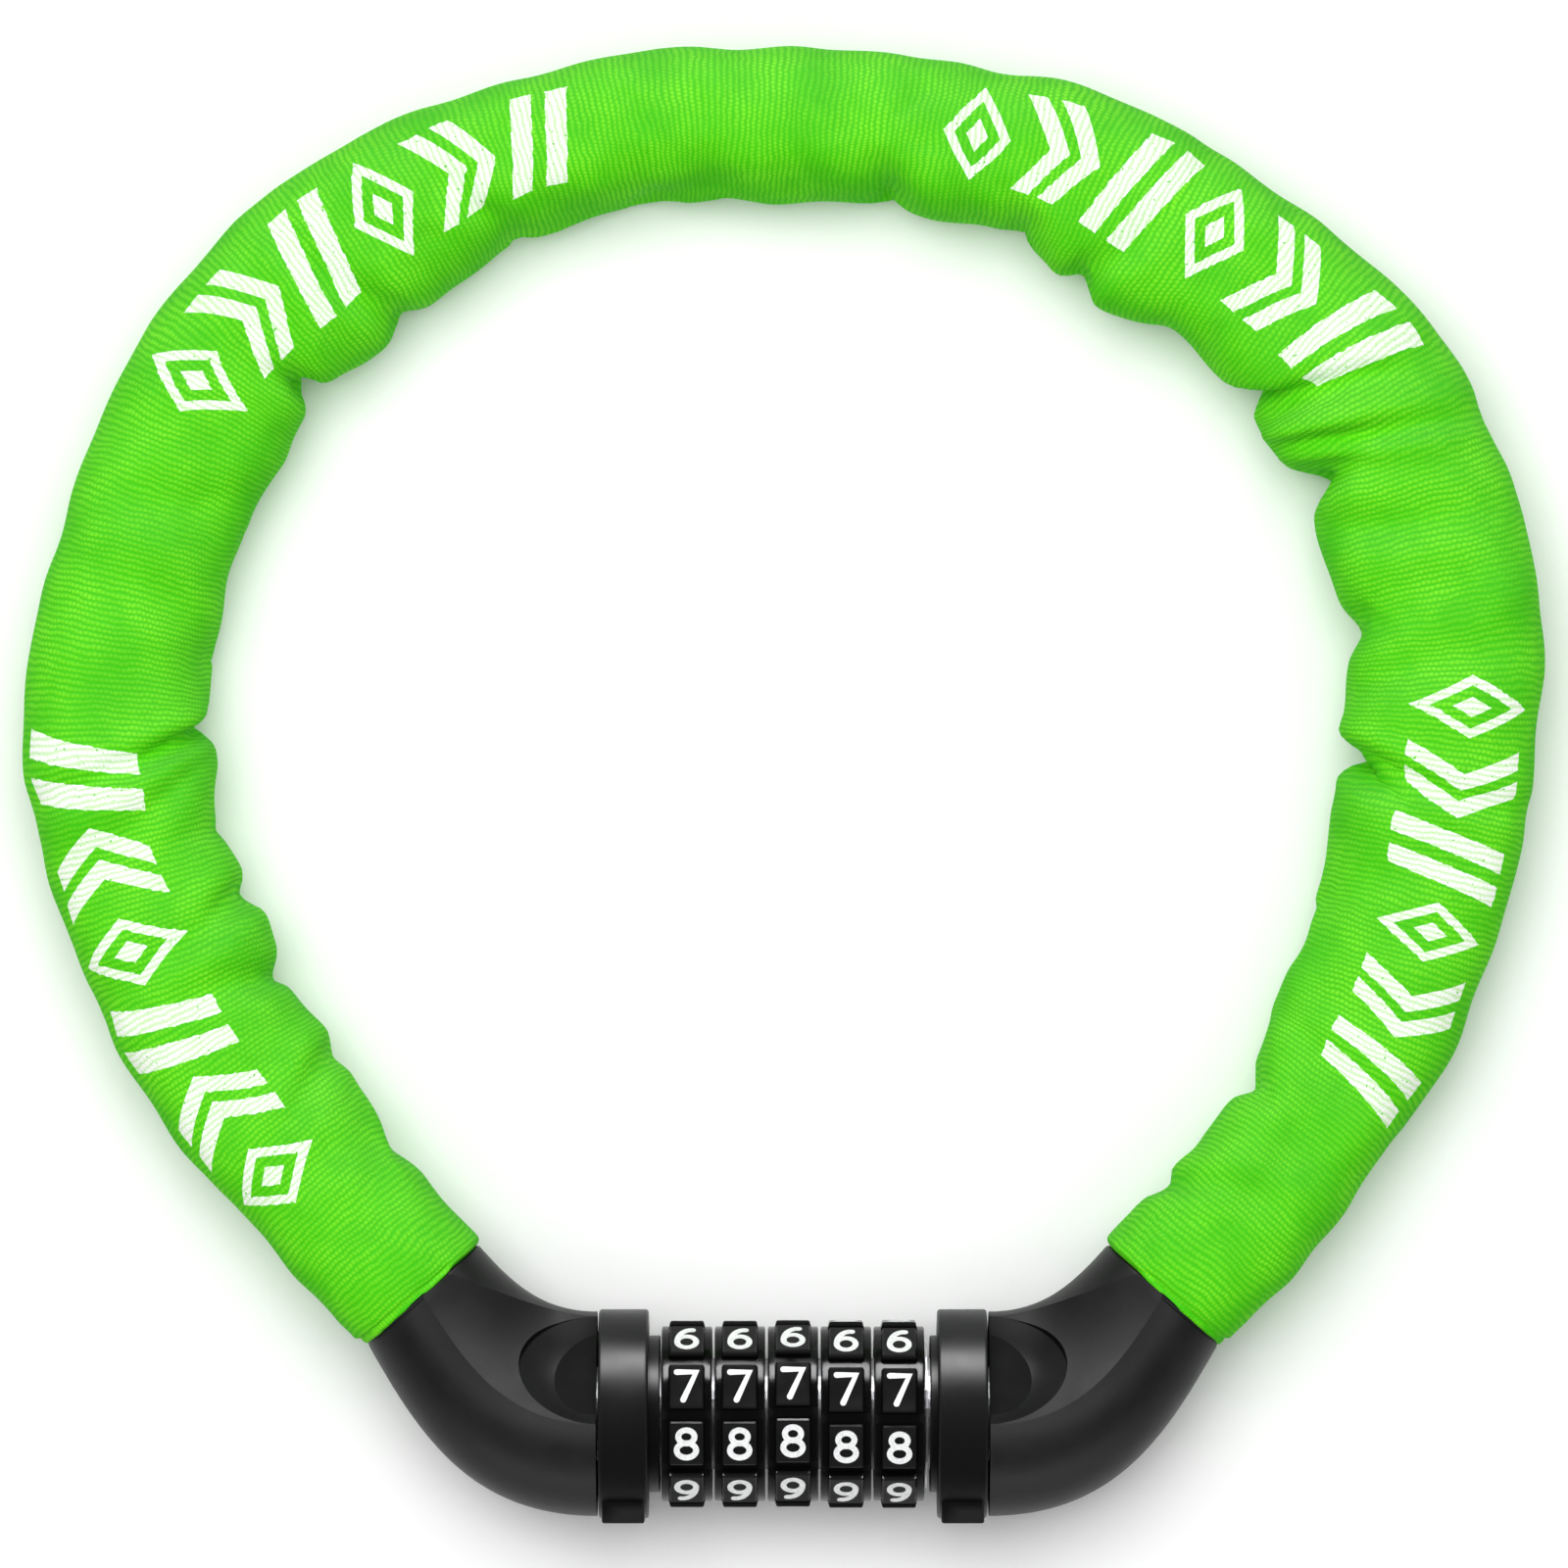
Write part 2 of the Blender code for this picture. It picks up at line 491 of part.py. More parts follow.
def chain_anchor(name, side):
    """The forked steel piece inside an elbow: a round boss, a bent bar and the fork at its end."""
    rings = []
    heading = Vector((cos(MOUTH_HEADING), sin(MOUTH_HEADING), 0))
    across = Vector((-heading.y, heading.x, 0))
    tip = pin_place(1) + heading * ANCHOR_FORK_PAST_PIN
    stations = [elbow_section(t)[::2] for t in (0.0, 0.2, 0.4, 0.6)]
    stations += [(pin_place(1), across), (tip, across)]
    for middle, sideways in stations:
        half, up = sideways * ANCHOR_HALF_WIDTH, Vector((0, 0, ANCHOR_HALF_HEIGHT))
        corners = middle - half - up, middle + half - up, middle + half + up, middle - half + up
        rings.append(mirrored(corners, side))
    anchor = piece(name, capped(rings), CAST_ZINC)
    boss, middle = ANCHOR_BOSS_END - ANCHOR_BOSS_START, (ANCHOR_BOSS_END + ANCHOR_BOSS_START) / 2
    at = (side * middle, 0, BARREL_Z)
    combine(anchor, rod(ANCHOR_BOSS_RADIUS, boss, at, TOWARDS_X, 32), "UNION")
    neck = ANCHOR_NECK_END - ANCHOR_BOSS_END + PAST
    at = (side * (ANCHOR_NECK_END - neck / 2), 0, BARREL_Z)
    combine(anchor, rod(ANCHOR_NECK_RADIUS, neck, at, TOWARDS_X, 32), "UNION")
    held = (CORE_SHANK_RADIUS if side > 0 else BOLT_RADIUS) + GAP
    depth = CORE_SHANK_X - ANCHOR_BOSS_START + 2 * PAST
    at = (side * (CORE_SHANK_X + PAST - depth / 2), 0, BARREL_Z)
    combine(anchor, rod(held, depth, at, TOWARDS_X), "DIFFERENCE")
    hole = rod(CROSS_PIN_RADIUS + GAP, THROUGH, (side * CROSS_PIN_X, 0, BARREL_Z))
    combine(anchor, hole, "DIFFERENCE")
    turn = Matrix.Translation(pin_place(side))
    turn @= Matrix.Rotation(MOUTH_HEADING if side > 0 else tau / 2 - MOUTH_HEADING, 4, "Z")
    reach = THROUGH / 2
    low = (-FORK_SLOT_BEHIND_PIN, -reach, -FORK_SLOT_HALF_HEIGHT)
    combine(anchor, box(low, (reach, reach, FORK_SLOT_HALF_HEIGHT), turn), "DIFFERENCE")
    combine(anchor, rod(PIN_RADIUS + GAP, THROUGH, pin_place(side)), "DIFFERENCE")


def from_mouth(side, distance):
    """A point on the line that the chain leaves an elbow's mouth along."""
    heading = Vector((cos(MOUTH_HEADING), sin(MOUTH_HEADING), 0))
    point = Vector(MOUTH) + heading * distance
    return Vector((side * point.x, point.y, point.z))


def pin_place(side):
    return from_mouth(side, -PIN_DEPTH)


def anchor_pin(name, side):
    length = 2 * ANCHOR_HALF_HEIGHT
    piece(name, rod(PIN_RADIUS, length, pin_place(side), sides=16), BOLT_STEEL)


# ---------------------------------------------------------------- chain and sleeve


def centre_line():
    """The middle of chain and sleeve, from the right anchor pin round to the left one."""
    right = [from_mouth(1, distance) for distance in (-PIN_DEPTH, 0, STRAIGHT_LENGTH)]
    left = [from_mouth(-1, distance) for distance in (STRAIGHT_LENGTH, 0, -PIN_DEPTH)]
    return smooth_line([*right, *SLEEVE_ROUTE, *left])


def pivots():
    """Where each link pivots on the one before it, and last where the left pin stands."""
    line = centre_line()
    found, k = [line[0]], 0
    for number in range(LINK_COUNT):
        step = UPRIGHT_LINK_STEP if number % 2 else FLAT_LINK_STEP
        while k < len(line) - 2 and (line[k + 1] - found[-1]).length < step:
            k += 1
        near, far = 0.0, 1.5
        for _ in range(40):
            share = (near + far) / 2
            reached = (line[k].lerp(line[k + 1], share) - found[-1]).length >= step
            near, far = (near, share) if reached else (share, far)
        found.append(line[k].lerp(line[k + 1], near))
    return found


def link_wire(name, step, upright):
    """A link's wire, a flat oval from its own pivot towards +X, in the plane of Y or of Z."""
    bend = LINK_INNER_WIDTH / 2 + WIRE_RADIUS
    straight = LINK_INNER_LENGTH / 2 - LINK_INNER_WIDTH / 2
    curve = bpy.data.curves.new(name, "CURVE")
    curve.dimensions = "3D"
    curve.bevel_depth = WIRE_RADIUS * MM
    curve.bevel_resolution = 1
    spline = curve.splines.new("POLY")
    spline.points.add(2 * BEND_POINTS - 1)
    spline.use_cyclic_u = True
    for k, point in enumerate(spline.points):
        end, turns = (1, k) if k < BEND_POINTS else (-1, k - 1)
        a = tau / 2 * turns / (BEND_POINTS - 1) - tau / 4
        x, across = step / 2 + end * straight + bend * cos(a), bend * sin(a)
        y, z = (0, across) if upright else (across, 0)
        point.co = (x * MM, y * MM, z * MM, 1)
    return curve


def chain_links():
    wires = (
        link_wire("flat_link", FLAT_LINK_STEP, False), link_wire("upright_link", UPRIGHT_LINK_STEP, True)
    )
    places = pivots()
    for number, (start, end) in enumerate(zip(places, places[1:])):
        heading = (end - start).normalized()
        sideways = Vector((-heading.y, heading.x, 0)).normalized()
        turn = Matrix((heading, sideways, heading.cross(sideways))).transposed().to_4x4()
        name = f"chain_link_{number + 1:02d}"
        place(name, wires[number % 2], CHAIN_STEEL, start, turn)


def sleeve_stations():
    """Distances along the centre line with half width, half height and thickness, mouth to mouth."""
    line = centre_line()
    lengths = lengths_along(line)
    first, last = PIN_DEPTH, lengths[-1] - PIN_DEPTH
    ends = [(first + d, *sizes) for d, *sizes in SLEEVE_END]
    others = [(last - d, *sizes) for d, *sizes in reversed(SLEEVE_END)]
    start, stop = ends[-1][0], others[0][0]
    count = round((stop - start) / SLEEVE_STEP)
    body = (SLEEVE_HALF_WIDTH, SLEEVE_HALF_HEIGHT, SLEEVE_THICKNESS)
    middle = [(start + (stop - start) * k / count, *body) for k in range(1, count)]
    return line, lengths, ends + middle + others


def fabric_sleeve():
    line, lengths, stations = sleeve_stations()
    outside, inside = [], []
    for distance, half_width, half_height, thickness in stations:
        middle, heading = point_at(line, lengths, distance)
        sideways = Vector((-heading.y, heading.x, 0)).normalized()
        up = heading.cross(sideways)
        for rings, less in ((outside, 0), (inside, thickness)):
            ring = []
            for k in range(SLEEVE_SIDES):
                a = tau * k / SLEEVE_SIDES
                across, rise = (half_width - less) * cos(a), (half_height - less) * sin(a)
                ring.append(middle + sideways * across + up * rise)
            rings.append(ring)
    piece("fabric_sleeve", looped(outside + inside[::-1]), GREEN_FABRIC)


def sleeve_ring(name, side):
    """The crimped band round the sleeve's end, inside the elbow's mouth."""
    turn = MOUTH_HEADING
    heading = Vector((cos(turn), sin(turn), 0))
    across = Vector((-heading.y, heading.x, 0))
    rings = []
    for depth, radius in (
        (CRIMP_DEPTHS[0], CRIMP_OUTER_RADIUS), (CRIMP_DEPTHS[1], CRIMP_OUTER_RADIUS),
        (CRIMP_DEPTHS[1], CRIMP_INNER_RADIUS), (CRIMP_DEPTHS[0], CRIMP_INNER_RADIUS),
    ):
        middle = Vector(MOUTH) - heading * depth
        angles = [tau * k / CRIMP_SIDES for k in range(CRIMP_SIDES)]
        rings.append(mirrored(around(middle, across, radius, angles), side))
    piece(name, looped(rings), SPRING_STEEL)


def main():
    clear_scene()
    frame = bpy.data.objects.new("lock_frame", None)
    frame.location = (BARREL_X * MM, BARREL_Y * MM, 0)
    bpy.context.scene.collection.objects.link(frame)
    barrel_core()
    retaining_clip()
    wave_washer()
    detent_strip()
    lock_bolt()
    for number in range(DIAL_COUNT):
        number_dial(number)
        code_ring(number)
    cross_pin("core_cross_pin", CROSS_PIN_X)
    cross_pin("bolt_cross_pin", -CROSS_PIN_X)
    for name, side in (("right", 1), ("left", -1)):
        collar(f"{name}_collar", side)
        elbow_shell(f"{name}_elbow_shell", side)
        chain_anchor(f"{name}_chain_anchor", side)
        anchor_pin(f"{name}_anchor_pin", side)
        sleeve_ring(f"{name}_sleeve_ring", side)
    chain_links()
    fabric_sleeve()


main()
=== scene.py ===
"""A five-dial combination chain lock, lying on a pale floor and seen from straight above.

Sizes are in millimetres and MM turns them into metres. The barrel of dials lies along X, the
sleeved chain runs round towards +Y, and +Z is up.
"""

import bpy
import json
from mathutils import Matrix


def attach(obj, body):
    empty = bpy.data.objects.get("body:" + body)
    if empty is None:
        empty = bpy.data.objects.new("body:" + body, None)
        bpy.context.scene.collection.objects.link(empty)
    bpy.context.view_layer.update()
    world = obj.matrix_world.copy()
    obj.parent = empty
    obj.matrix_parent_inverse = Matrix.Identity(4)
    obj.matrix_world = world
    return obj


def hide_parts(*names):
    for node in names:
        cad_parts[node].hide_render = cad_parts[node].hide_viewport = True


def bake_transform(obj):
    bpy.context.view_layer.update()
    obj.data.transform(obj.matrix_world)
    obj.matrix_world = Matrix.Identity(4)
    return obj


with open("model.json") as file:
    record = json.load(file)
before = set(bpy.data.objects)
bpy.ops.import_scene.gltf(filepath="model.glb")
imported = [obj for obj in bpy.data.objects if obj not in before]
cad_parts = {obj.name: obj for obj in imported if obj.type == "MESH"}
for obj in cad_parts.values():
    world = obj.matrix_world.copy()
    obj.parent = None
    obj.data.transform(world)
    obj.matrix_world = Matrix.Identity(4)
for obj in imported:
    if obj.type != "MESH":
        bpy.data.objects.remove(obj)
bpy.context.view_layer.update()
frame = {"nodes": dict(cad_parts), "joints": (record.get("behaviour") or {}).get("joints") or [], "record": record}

import json
from math import cos, pi, radians, sin, tau

import bmesh
import bpy
import numpy as np
from mathutils import Matrix, Vector
from mathutils.geometry import interpolate_bezier

MM = 0.001

JOINTS = {joint["name"]: joint for joint in frame["joints"]}
BARREL = Vector(JOINTS["dial_turn_3"]["pos_m"]) / MM  # the middle of the barrel, on its axis
# The chain's pins by number, from the right elbow round to the left one
PINS = {int(n[-2:]): Vector(j["pos_m"]) / MM for n, j in JOINTS.items() if n.startswith("link_hinge")}
LAST_PIN = max(PINS)
OPEN_PIN = next(k for k in range(1, LAST_PIN) if k not in PINS)  # no joint: the links either side move as one

# Camera and light
VIEW_WIDTH, VIEW_HEIGHT_Z, CAMERA_DISTANCE, SENSOR_WIDTH = 228.8, 12.0, 1600.0, 36.0
LOOP_MIDDLE = BARREL + Vector((-1.3, 91.7, 0))  # the loop is seen from straight above this point
FLOOR_WIDTH = 6000.0
WORLD_LIGHT, FILL_LIGHT, OVERHEAD_LIGHT = 0.2, 50.0, 12.6
STRIP_LIGHT, SHEEN_LIGHT, FACET_LIGHT, RIM_LIGHT = 106.0, 28.0, 26.0, 20.0

# Collars, as in the CAD
COLLAR_RADIUS, COLLAR_INNER_X, COLLAR_OUTER_X, COLLAR_EDGE = 15.2, 21.0, 28.2, 0.5
NECK_RADIUS, NECK_X = 11.4, 19.3
COLLAR_BORE_RADIUS = 8.5
RECESS_RADIUS, RECESS_X, RECESS_WALL, BOLT_BORE_RADIUS = 10.5, 21.4, 1.2, 3.4
FOOT_FRONT, FOOT_HALF_HEIGHT, FOOT_MARGIN = 15.4, 9.0, 0.5

# Dials
DIAL_COUNT, DIGITS, FIRST_DIGIT = 5, 10, 7
DIAL_WIDTH, DIAL_BORE_RADIUS, DIAL_RIM_RADIUS, DIAL_PAD_RADIUS = 7.3, 10.9, 12.7, 13.9
PAD_WIDTH, PAD_HALF_ANGLE, PAD_FOOT_ANGLE, FIRST_PAD_ANGLE = 5.2, 13.6, 14.9, 20.0
PAD_ROUNDING = 0.35
DIAL_PLAY = (0.5, 0.5, 2.4, -1.4, -2.0)  # degrees that each dial stands off its click
NUMBER_STROKE, NUMBER_PAINT_DEPTH = 0.85, 0.05
NUMBER_STROKE_MITRE = 1.35  # the most that a corner of a number reaches out, in half strokes

# Elbows: the right one's two edges seen from above, as Bezier points from collar to mouth
ELBOW_OUTER_EDGE = ((28.5, -14.87), (47.5, -14.87), (54.8, -2.35), (62.2, 10.7))
ELBOW_INNER_EDGE = ((28.5, 14.87), (36.3, 14.87), (40.65, 18.66), (45.9, 24.7))
ELBOW_BORE_RADIUS = (8.0, 10.0)
FACET_START_ANGLE, FACET_END_ANGLE, FACET_TAPER_FROM, FACET_TAPER = (-3.0, 2.2), (76.0, 29.0), 0.2, 1.7
LIP_RADIUS, LIP_STEPS = 0.6, 6
THUMB_LEAN, THUMB_LENGTH, THUMB_HALF_WIDTH, THUMB_FACET = 36.5, 11.2, 9.4, 11.5
THUMB_FLOOR_LENGTH, THUMB_FLOOR_HALF_WIDTH = 6.1, 7.0
THUMB_FLOOR_DEEP, THUMB_FLOOR_SHALLOW, THUMB_CUT_HEIGHT = 8.9, 10.6, 8.0
THUMB_FLARE = 1.25  # how its side curves outwards between floor and rim: 1 for straight
MOUTH_HEADING, PIN_DEPTH = radians(49.6), 7.0

# Bolt
BOLT_RADIUS, BOLT_TAIL_X, BOLT_TIP_X, BOLT_CHAMFER = 3.0, -30.0, 19.0, 0.6
TOOTH_START, TOOTH_END, TOOTH_WIDTH, TOOTH_REACH = 1.3, 3.3, 3.0, 9.7
DIAL_PITCH = 7.7

# Fabric colours and weave
RIB_PITCH, THREAD_PITCH = 0.86, 0.7
FABRIC_RIDGE, FABRIC_GROOVE, FABRIC_DEEP = (0.2, 0.79, 0.02), (0.06, 0.57, 0.004), (0.035, 0.47, 0.003)
PRINT_WHITE, PRINT_GROOVE = (0.93, 0.97, 0.9), (0.5, 0.84, 0.35)
PRINT_CELLS, PRINT_PITCH, PRINT_HEIGHT = 6, 11.6, 16.2
# Each shape's lean or bend, then where its two strokes are and half their width
SLASHES, CHEVRONS, CHEVRON_SHIFT = (0.22, 2.5, 1.5), (0.55, 2.1, 1.3), 1.9
DIAMOND_HALF_WIDTH, DIAMOND_RING, DIAMOND_CORE = 4.7, (0.84, 0.16), 0.32
# From and to which bearing each printed row runs, and how far it is moved outwards
PRINT_ROWS = ((-29.5, 9.9, 3.0), (34.7, 76.9, 2.2), (107.4, 148.8, 1.5), (175.3, 222.0, 4.5))

# Sleeve. A bearing is in degrees round the loop's middle, from +X towards +Y.
SLEEVE_HALF_HEIGHT = 11.8
SLEEVE_CREST = 2.4  # how square its section is: 2 for an oval
CELL, SLEEVE_COLUMNS = 1.75, 44
# Distance outside the mouth, then how far the sleeve reaches inwards, outwards and up there
SLEEVE_END = (
    (-3.2, 8.75, 8.75, 8.75), (-0.3, 8.9, 8.9, 8.9), (0.1, 10.6, 10.6, 10.2), (0.4, 11.3, 11.3, 10.6),
    (1.2, 11.5, 11.5, 10.8), (4.0, 11.4, 11.9, 11.2), (14.0, 11.1, 12.5, 11.8),
)
# Distances outside the mouth of the first and last rings
MOUTH_RINGS = (-3.2, -1.7, -0.3, 0.1, 0.5, 1.2, 2.4)
# Bearing, and how far the sleeve reaches inwards and outwards of the chain there
SLEEVE_WIDTHS = (
    (-54, 10.2, 12.2), (-44, 6.4, 12.4), (-40, 9.0, 13.0), (-35, 9.8, 12.0), (-30, 11.1, 11.8),
    (-25, 13.2, 12.4), (-20, 12.8, 13.0), (-13, 11.4, 13.4), (-4, 13.3, 14.4), (4, 13.0, 14.4),
    (13, 11.7, 15.0), (21, 12.4, 16.0), (27, 12.2, 15.0), (35, 14.6, 14.2), (44, 13.2, 12.6),
    (51, 10.4, 13.1), (58, 14.3, 13.9), (64, 11.6, 13.0), (71, 8.3, 12.5), (81, 6.9, 12.7),
    (86, 7.8, 12.3), (91, 8.7, 11.7), (99, 8.5, 11.5), (106, 8.6, 12.2), (112, 8.2, 12.5),
    (122, 10.4, 13.0), (131, 12.7, 14.6), (136, 11.5, 14.0), (142, 12.2, 12.9), (148, 13.4, 13.0),
    (156, 11.3, 12.9), (168, 10.7, 14.1), (175, 13.2, 13.6), (180, 12.6, 13.6), (186, 9.6, 13.7),
    (192, 14.2, 13.2), (197, 13.6, 12.9), (204, 12.6, 12.9), (212, 14.1, 12.5), (221, 10.7, 12.2),
    (227, 6.8, 12.4), (235, 10.0, 12.2),
)
# Pinches in the inner side: bearing, depth, width along the sleeve, reach over the top and lean
PINCHES = (
    (-45.7, 2.0, 2.2, 60, 0.1), (-33.1, 2.4, 2.4, 70, -0.1), (1.5, 6.6, 1.9, 95, -0.35),
    (14.4, 1.8, 2.6, 60, 0.2), (28.4, 5.2, 2.4, 80, 0.1), (40.8, 5.2, 2.4, 120, -0.5),
    (59.5, 3.4, 2.6, 70, 0.2), (67.8, 1.6, 2.8, 60, -0.1), (80.0, 2.4, 2.6, 60, 0.1),
    (115.6, 0.7, 2.6, 70, 0.1), (128.7, 2.0, 3.0, 100, 0.3), (140.0, 4.2, 2.2, 80, 0.1),
    (175.0, 3.0, 2.4, 80, 0.4), (192.5, 3.0, 2.4, 70, 0.1), (201.4, 2.4, 2.4, 60, -0.1),
    (211.9, 2.0, 2.4, 70, 0.1),
)
# How far the side swells between two pinches: a share of their spacing, the most, and the spacing with none
SCALLOP, SCALLOP_MOST, SCALLOP_SPAN = 0.04, 0.9, 45.0
# Soft folds over the top: bearing at the inner edge, at the outer edge, depth and width
FOLDS = (
    (33.8, 28.9, 1.5, 1.5), (37.5, 34.0, 0.8, 2.2), (24.5, 22.0, 0.9, 2.6), (2.4, -1.2, 1.3, 1.6),
    (8.0, 12.0, 0.6, 3.0), (-12.0, -6.0, 0.5, 3.2), (-25.0, -29.0, 0.6, 3.0), (-46.0, -40.0, 0.6, 2.4),
    (47.0, 52.5, 0.8, 2.4), (60.0, 55.0, 0.9, 2.2), (68.5, 73.0, 0.7, 2.4), (79.0, 86.0, 0.5, 3.2),
    (97.0, 94.0, 0.4, 3.6), (115.0, 121.0, 0.8, 2.4), (128.5, 133.5, 0.9, 2.6), (140.0, 136.0, 1.0, 2.2),
    (152.0, 157.0, 0.5, 3.4), (166.0, 161.0, 0.5, 3.4), (175.5, 180.5, 1.2, 1.8), (179.0, 187.0, 0.7, 2.6),
    (192.0, 197.5, 0.9, 2.4), (202.0, 199.0, 0.7, 2.4), (212.0, 217.0, 0.8, 2.4), (222.0, 219.0, 0.6, 2.8),
)
RIPPLE = 0.3  # height of the slow unevenness all over
STRAIGHTER, FULLER = 0.55, 1.02  # of the loop's bend and length, as the sleeve was sewn
LINER, LINER_GAP = (6.6, 10.4, 9.6), 1.2  # how far the filling reaches inwards, outwards and up
FLOOR_GAP = 0.15
SIM_SCALE, SIM_FRAMES, CLOTH_GAP = 10.0, 26, 0.004
HOLD_OUTER, HOLD_END, HOLD_FADE = 0.25, 1.15, 14.0  # at the outer side, at the ends, and over what length
BEND_REACH = 7.0  # either side of a pin, the span worked out round it for each sleeve piece
END_CUT = 0.82  # where the sleeve's first and last pieces end, as a share of their link

# ---------------------------------------------------------------- helpers


def ease(pair, t):
    return pair[0] + (pair[1] - pair[0]) * t


def smooth_line(points, steps=24):
    """A smooth curve through the points, whose direction at each is that between its neighbours."""
    spans = [(b - a).length for a, b in zip(points, points[1:])]
    ways = [(points[1] - points[0]).normalized()]
    for i in range(1, len(points) - 1):
        ways.append((points[i + 1] - points[i - 1]) / (spans[i - 1] + spans[i]))
    ways.append((points[-1] - points[-2]).normalized())
    found = []
    for i, span in enumerate(spans):
        handles = points[i] + ways[i] * span / 3, points[i + 1] - ways[i + 1] * span / 3
        found += interpolate_bezier(points[i], *handles, points[i + 1], steps + 1)[:-1]
    return np.array([*found, points[-1]])


def placed(name, data):
    """A new object in the scene."""
    obj = bpy.data.objects.new(name, data)
    bpy.context.scene.collection.objects.link(obj)
    return obj


def mesh_from(bm, name, sharp=30):
    bmesh.ops.scale(bm, vec=(MM, MM, MM), verts=bm.verts)
    bmesh.ops.recalc_face_normals(bm, faces=bm.faces)
    mesh = bpy.data.meshes.new(name)
    bm.to_mesh(mesh)
    bm.free()
    mesh.shade_smooth()
    mesh.set_sharp_from_angle(angle=radians(sharp))
    return mesh


def piece(name, bm, finish, body=None, node=None, sharp=30):
    """A piece from a bmesh in millimetres, riding on a body and standing for a CAD node."""
    obj = placed(name, mesh_from(bm, name, sharp))
    obj.data.materials.append(finish)
    if body:
        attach(obj, body)
    if node:
        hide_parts(node)
    return obj


def combine(bm, other, operation):
    """The bmesh cut by, or joined with, the other."""
    objects = []
    for source in (bm, other):
        bmesh.ops.recalc_face_normals(source, faces=source.faces)
        mesh = bpy.data.meshes.new("combine")
        source.to_mesh(mesh)
        source.free()
        objects.append(placed("combine", mesh))
    kept, helper = objects
    modifier = kept.modifiers.new("combine", "BOOLEAN")
    modifier.object, modifier.operation, modifier.solver = helper, operation, "EXACT"
    graph = bpy.context.evaluated_depsgraph_get()
    made = bmesh.new()
    made.from_mesh(kept.evaluated_get(graph).to_mesh())
    for obj in objects:
        mesh = obj.data
        bpy.data.objects.remove(obj)
        bpy.data.meshes.remove(mesh)
    return made


def skinned(rings, capped=False):
    """A surface through rings of points: a tube's wall, closed on itself, or capped at both ends."""
    bm = bmesh.new()
    rows = [[bm.verts.new(point) for point in ring] for ring in rings]
    for row, following in zip(rows, rows[1:] if capped else rows[1:] + rows[:1]):
        for i in range(len(row)):
            j = (i + 1) % len(row)
            bm.faces.new((row[i], row[j], following[j], following[i]))
    if capped:
        bm.faces.new(rows[0])
        bm.faces.new(rows[-1])
    return bm


def turned(profile, sides=96):
    """Rings about the barrel's axis, from (x, radius) points of the section."""
    rings = []
    for x, radius in profile:
        angles = [tau * k / sides for k in range(sides)]
        rings.append([BARREL + Vector((x, radius * sin(a), radius * cos(a))) for a in angles])
    return rings


def rounded(corners, radius, steps=4):
    """The section's corners, each replaced by an arc where a radius is asked for."""
    found = []
    for i, corner in enumerate(corners):
        point = Vector(corner[:2])
        if len(corner) < 3:
            found.append(tuple(point))
            continue
        before, after = Vector(corners[i - 1][:2]), Vector(corners[(i + 1) % len(corners)][:2])
        start = point + (before - point).normalized() * corner[2] * radius
        end = point + (after - point).normalized() * corner[2] * radius
        for k in range(steps + 1):
            t = k / steps
            found.append(tuple(start * (1 - t) ** 2 + point * 2 * t * (1 - t) + end * t * t))
    return found


def box(low, high, bevel=0.0):
    low, high = Vector(low), Vector(high)
    bm = bmesh.new()
    matrix = Matrix.Translation((low + high) / 2) @ Matrix.Diagonal((*(high - low), 1))
    bmesh.ops.create_cube(bm, size=1, matrix=matrix)
    if bevel:
        bmesh.ops.bevel(bm, geom=bm.edges[:], offset=bevel, segments=3, profile=0.5, affect="EDGES")
    return bm


# ---------------------------------------------------------------- materials


def feed(tree, socket, value):
    """Links a Field to a node's socket, or gives the socket a plain value."""
    if isinstance(value, Field):
        tree.links.new(value.socket, socket)
    else:
        socket.default_value = value


class Field:
    """A number worked out by Math nodes, so that a pattern reads as a formula."""

    def __init__(self, tree, socket):
        self.tree, self.socket = tree, socket

    def math(self, operation, *others):
        node = self.tree.nodes.new("ShaderNodeMath")
        node.operation = operation
        for i, value in enumerate((self, *others)):
            feed(self.tree, node.inputs[i], value)
        return Field(self.tree, node.outputs[0])

    def __add__(self, other):
        return self.math("ADD", other)

    def __sub__(self, other):
        return self.math("SUBTRACT", other)

    def __mul__(self, other):
        return self.math("MULTIPLY", other)

    def __truediv__(self, other):
        return self.math("DIVIDE", other)

    def __abs__(self):
        return self.math("ABSOLUTE")

    def below(self, other):
        return self.math("LESS_THAN", other)

    def above(self, other):
        return self.math("GREATER_THAN", other)

    def ramp(self, low, high):
        """0 below low, 1 above high and straight between."""
        node = self.tree.nodes.new("ShaderNodeMapRange")
        self.tree.links.new(self.socket, node.inputs["Value"])
        node.inputs["From Min"].default_value, node.inputs["From Max"].default_value = low, high
        return Field(self.tree, node.outputs["Result"])


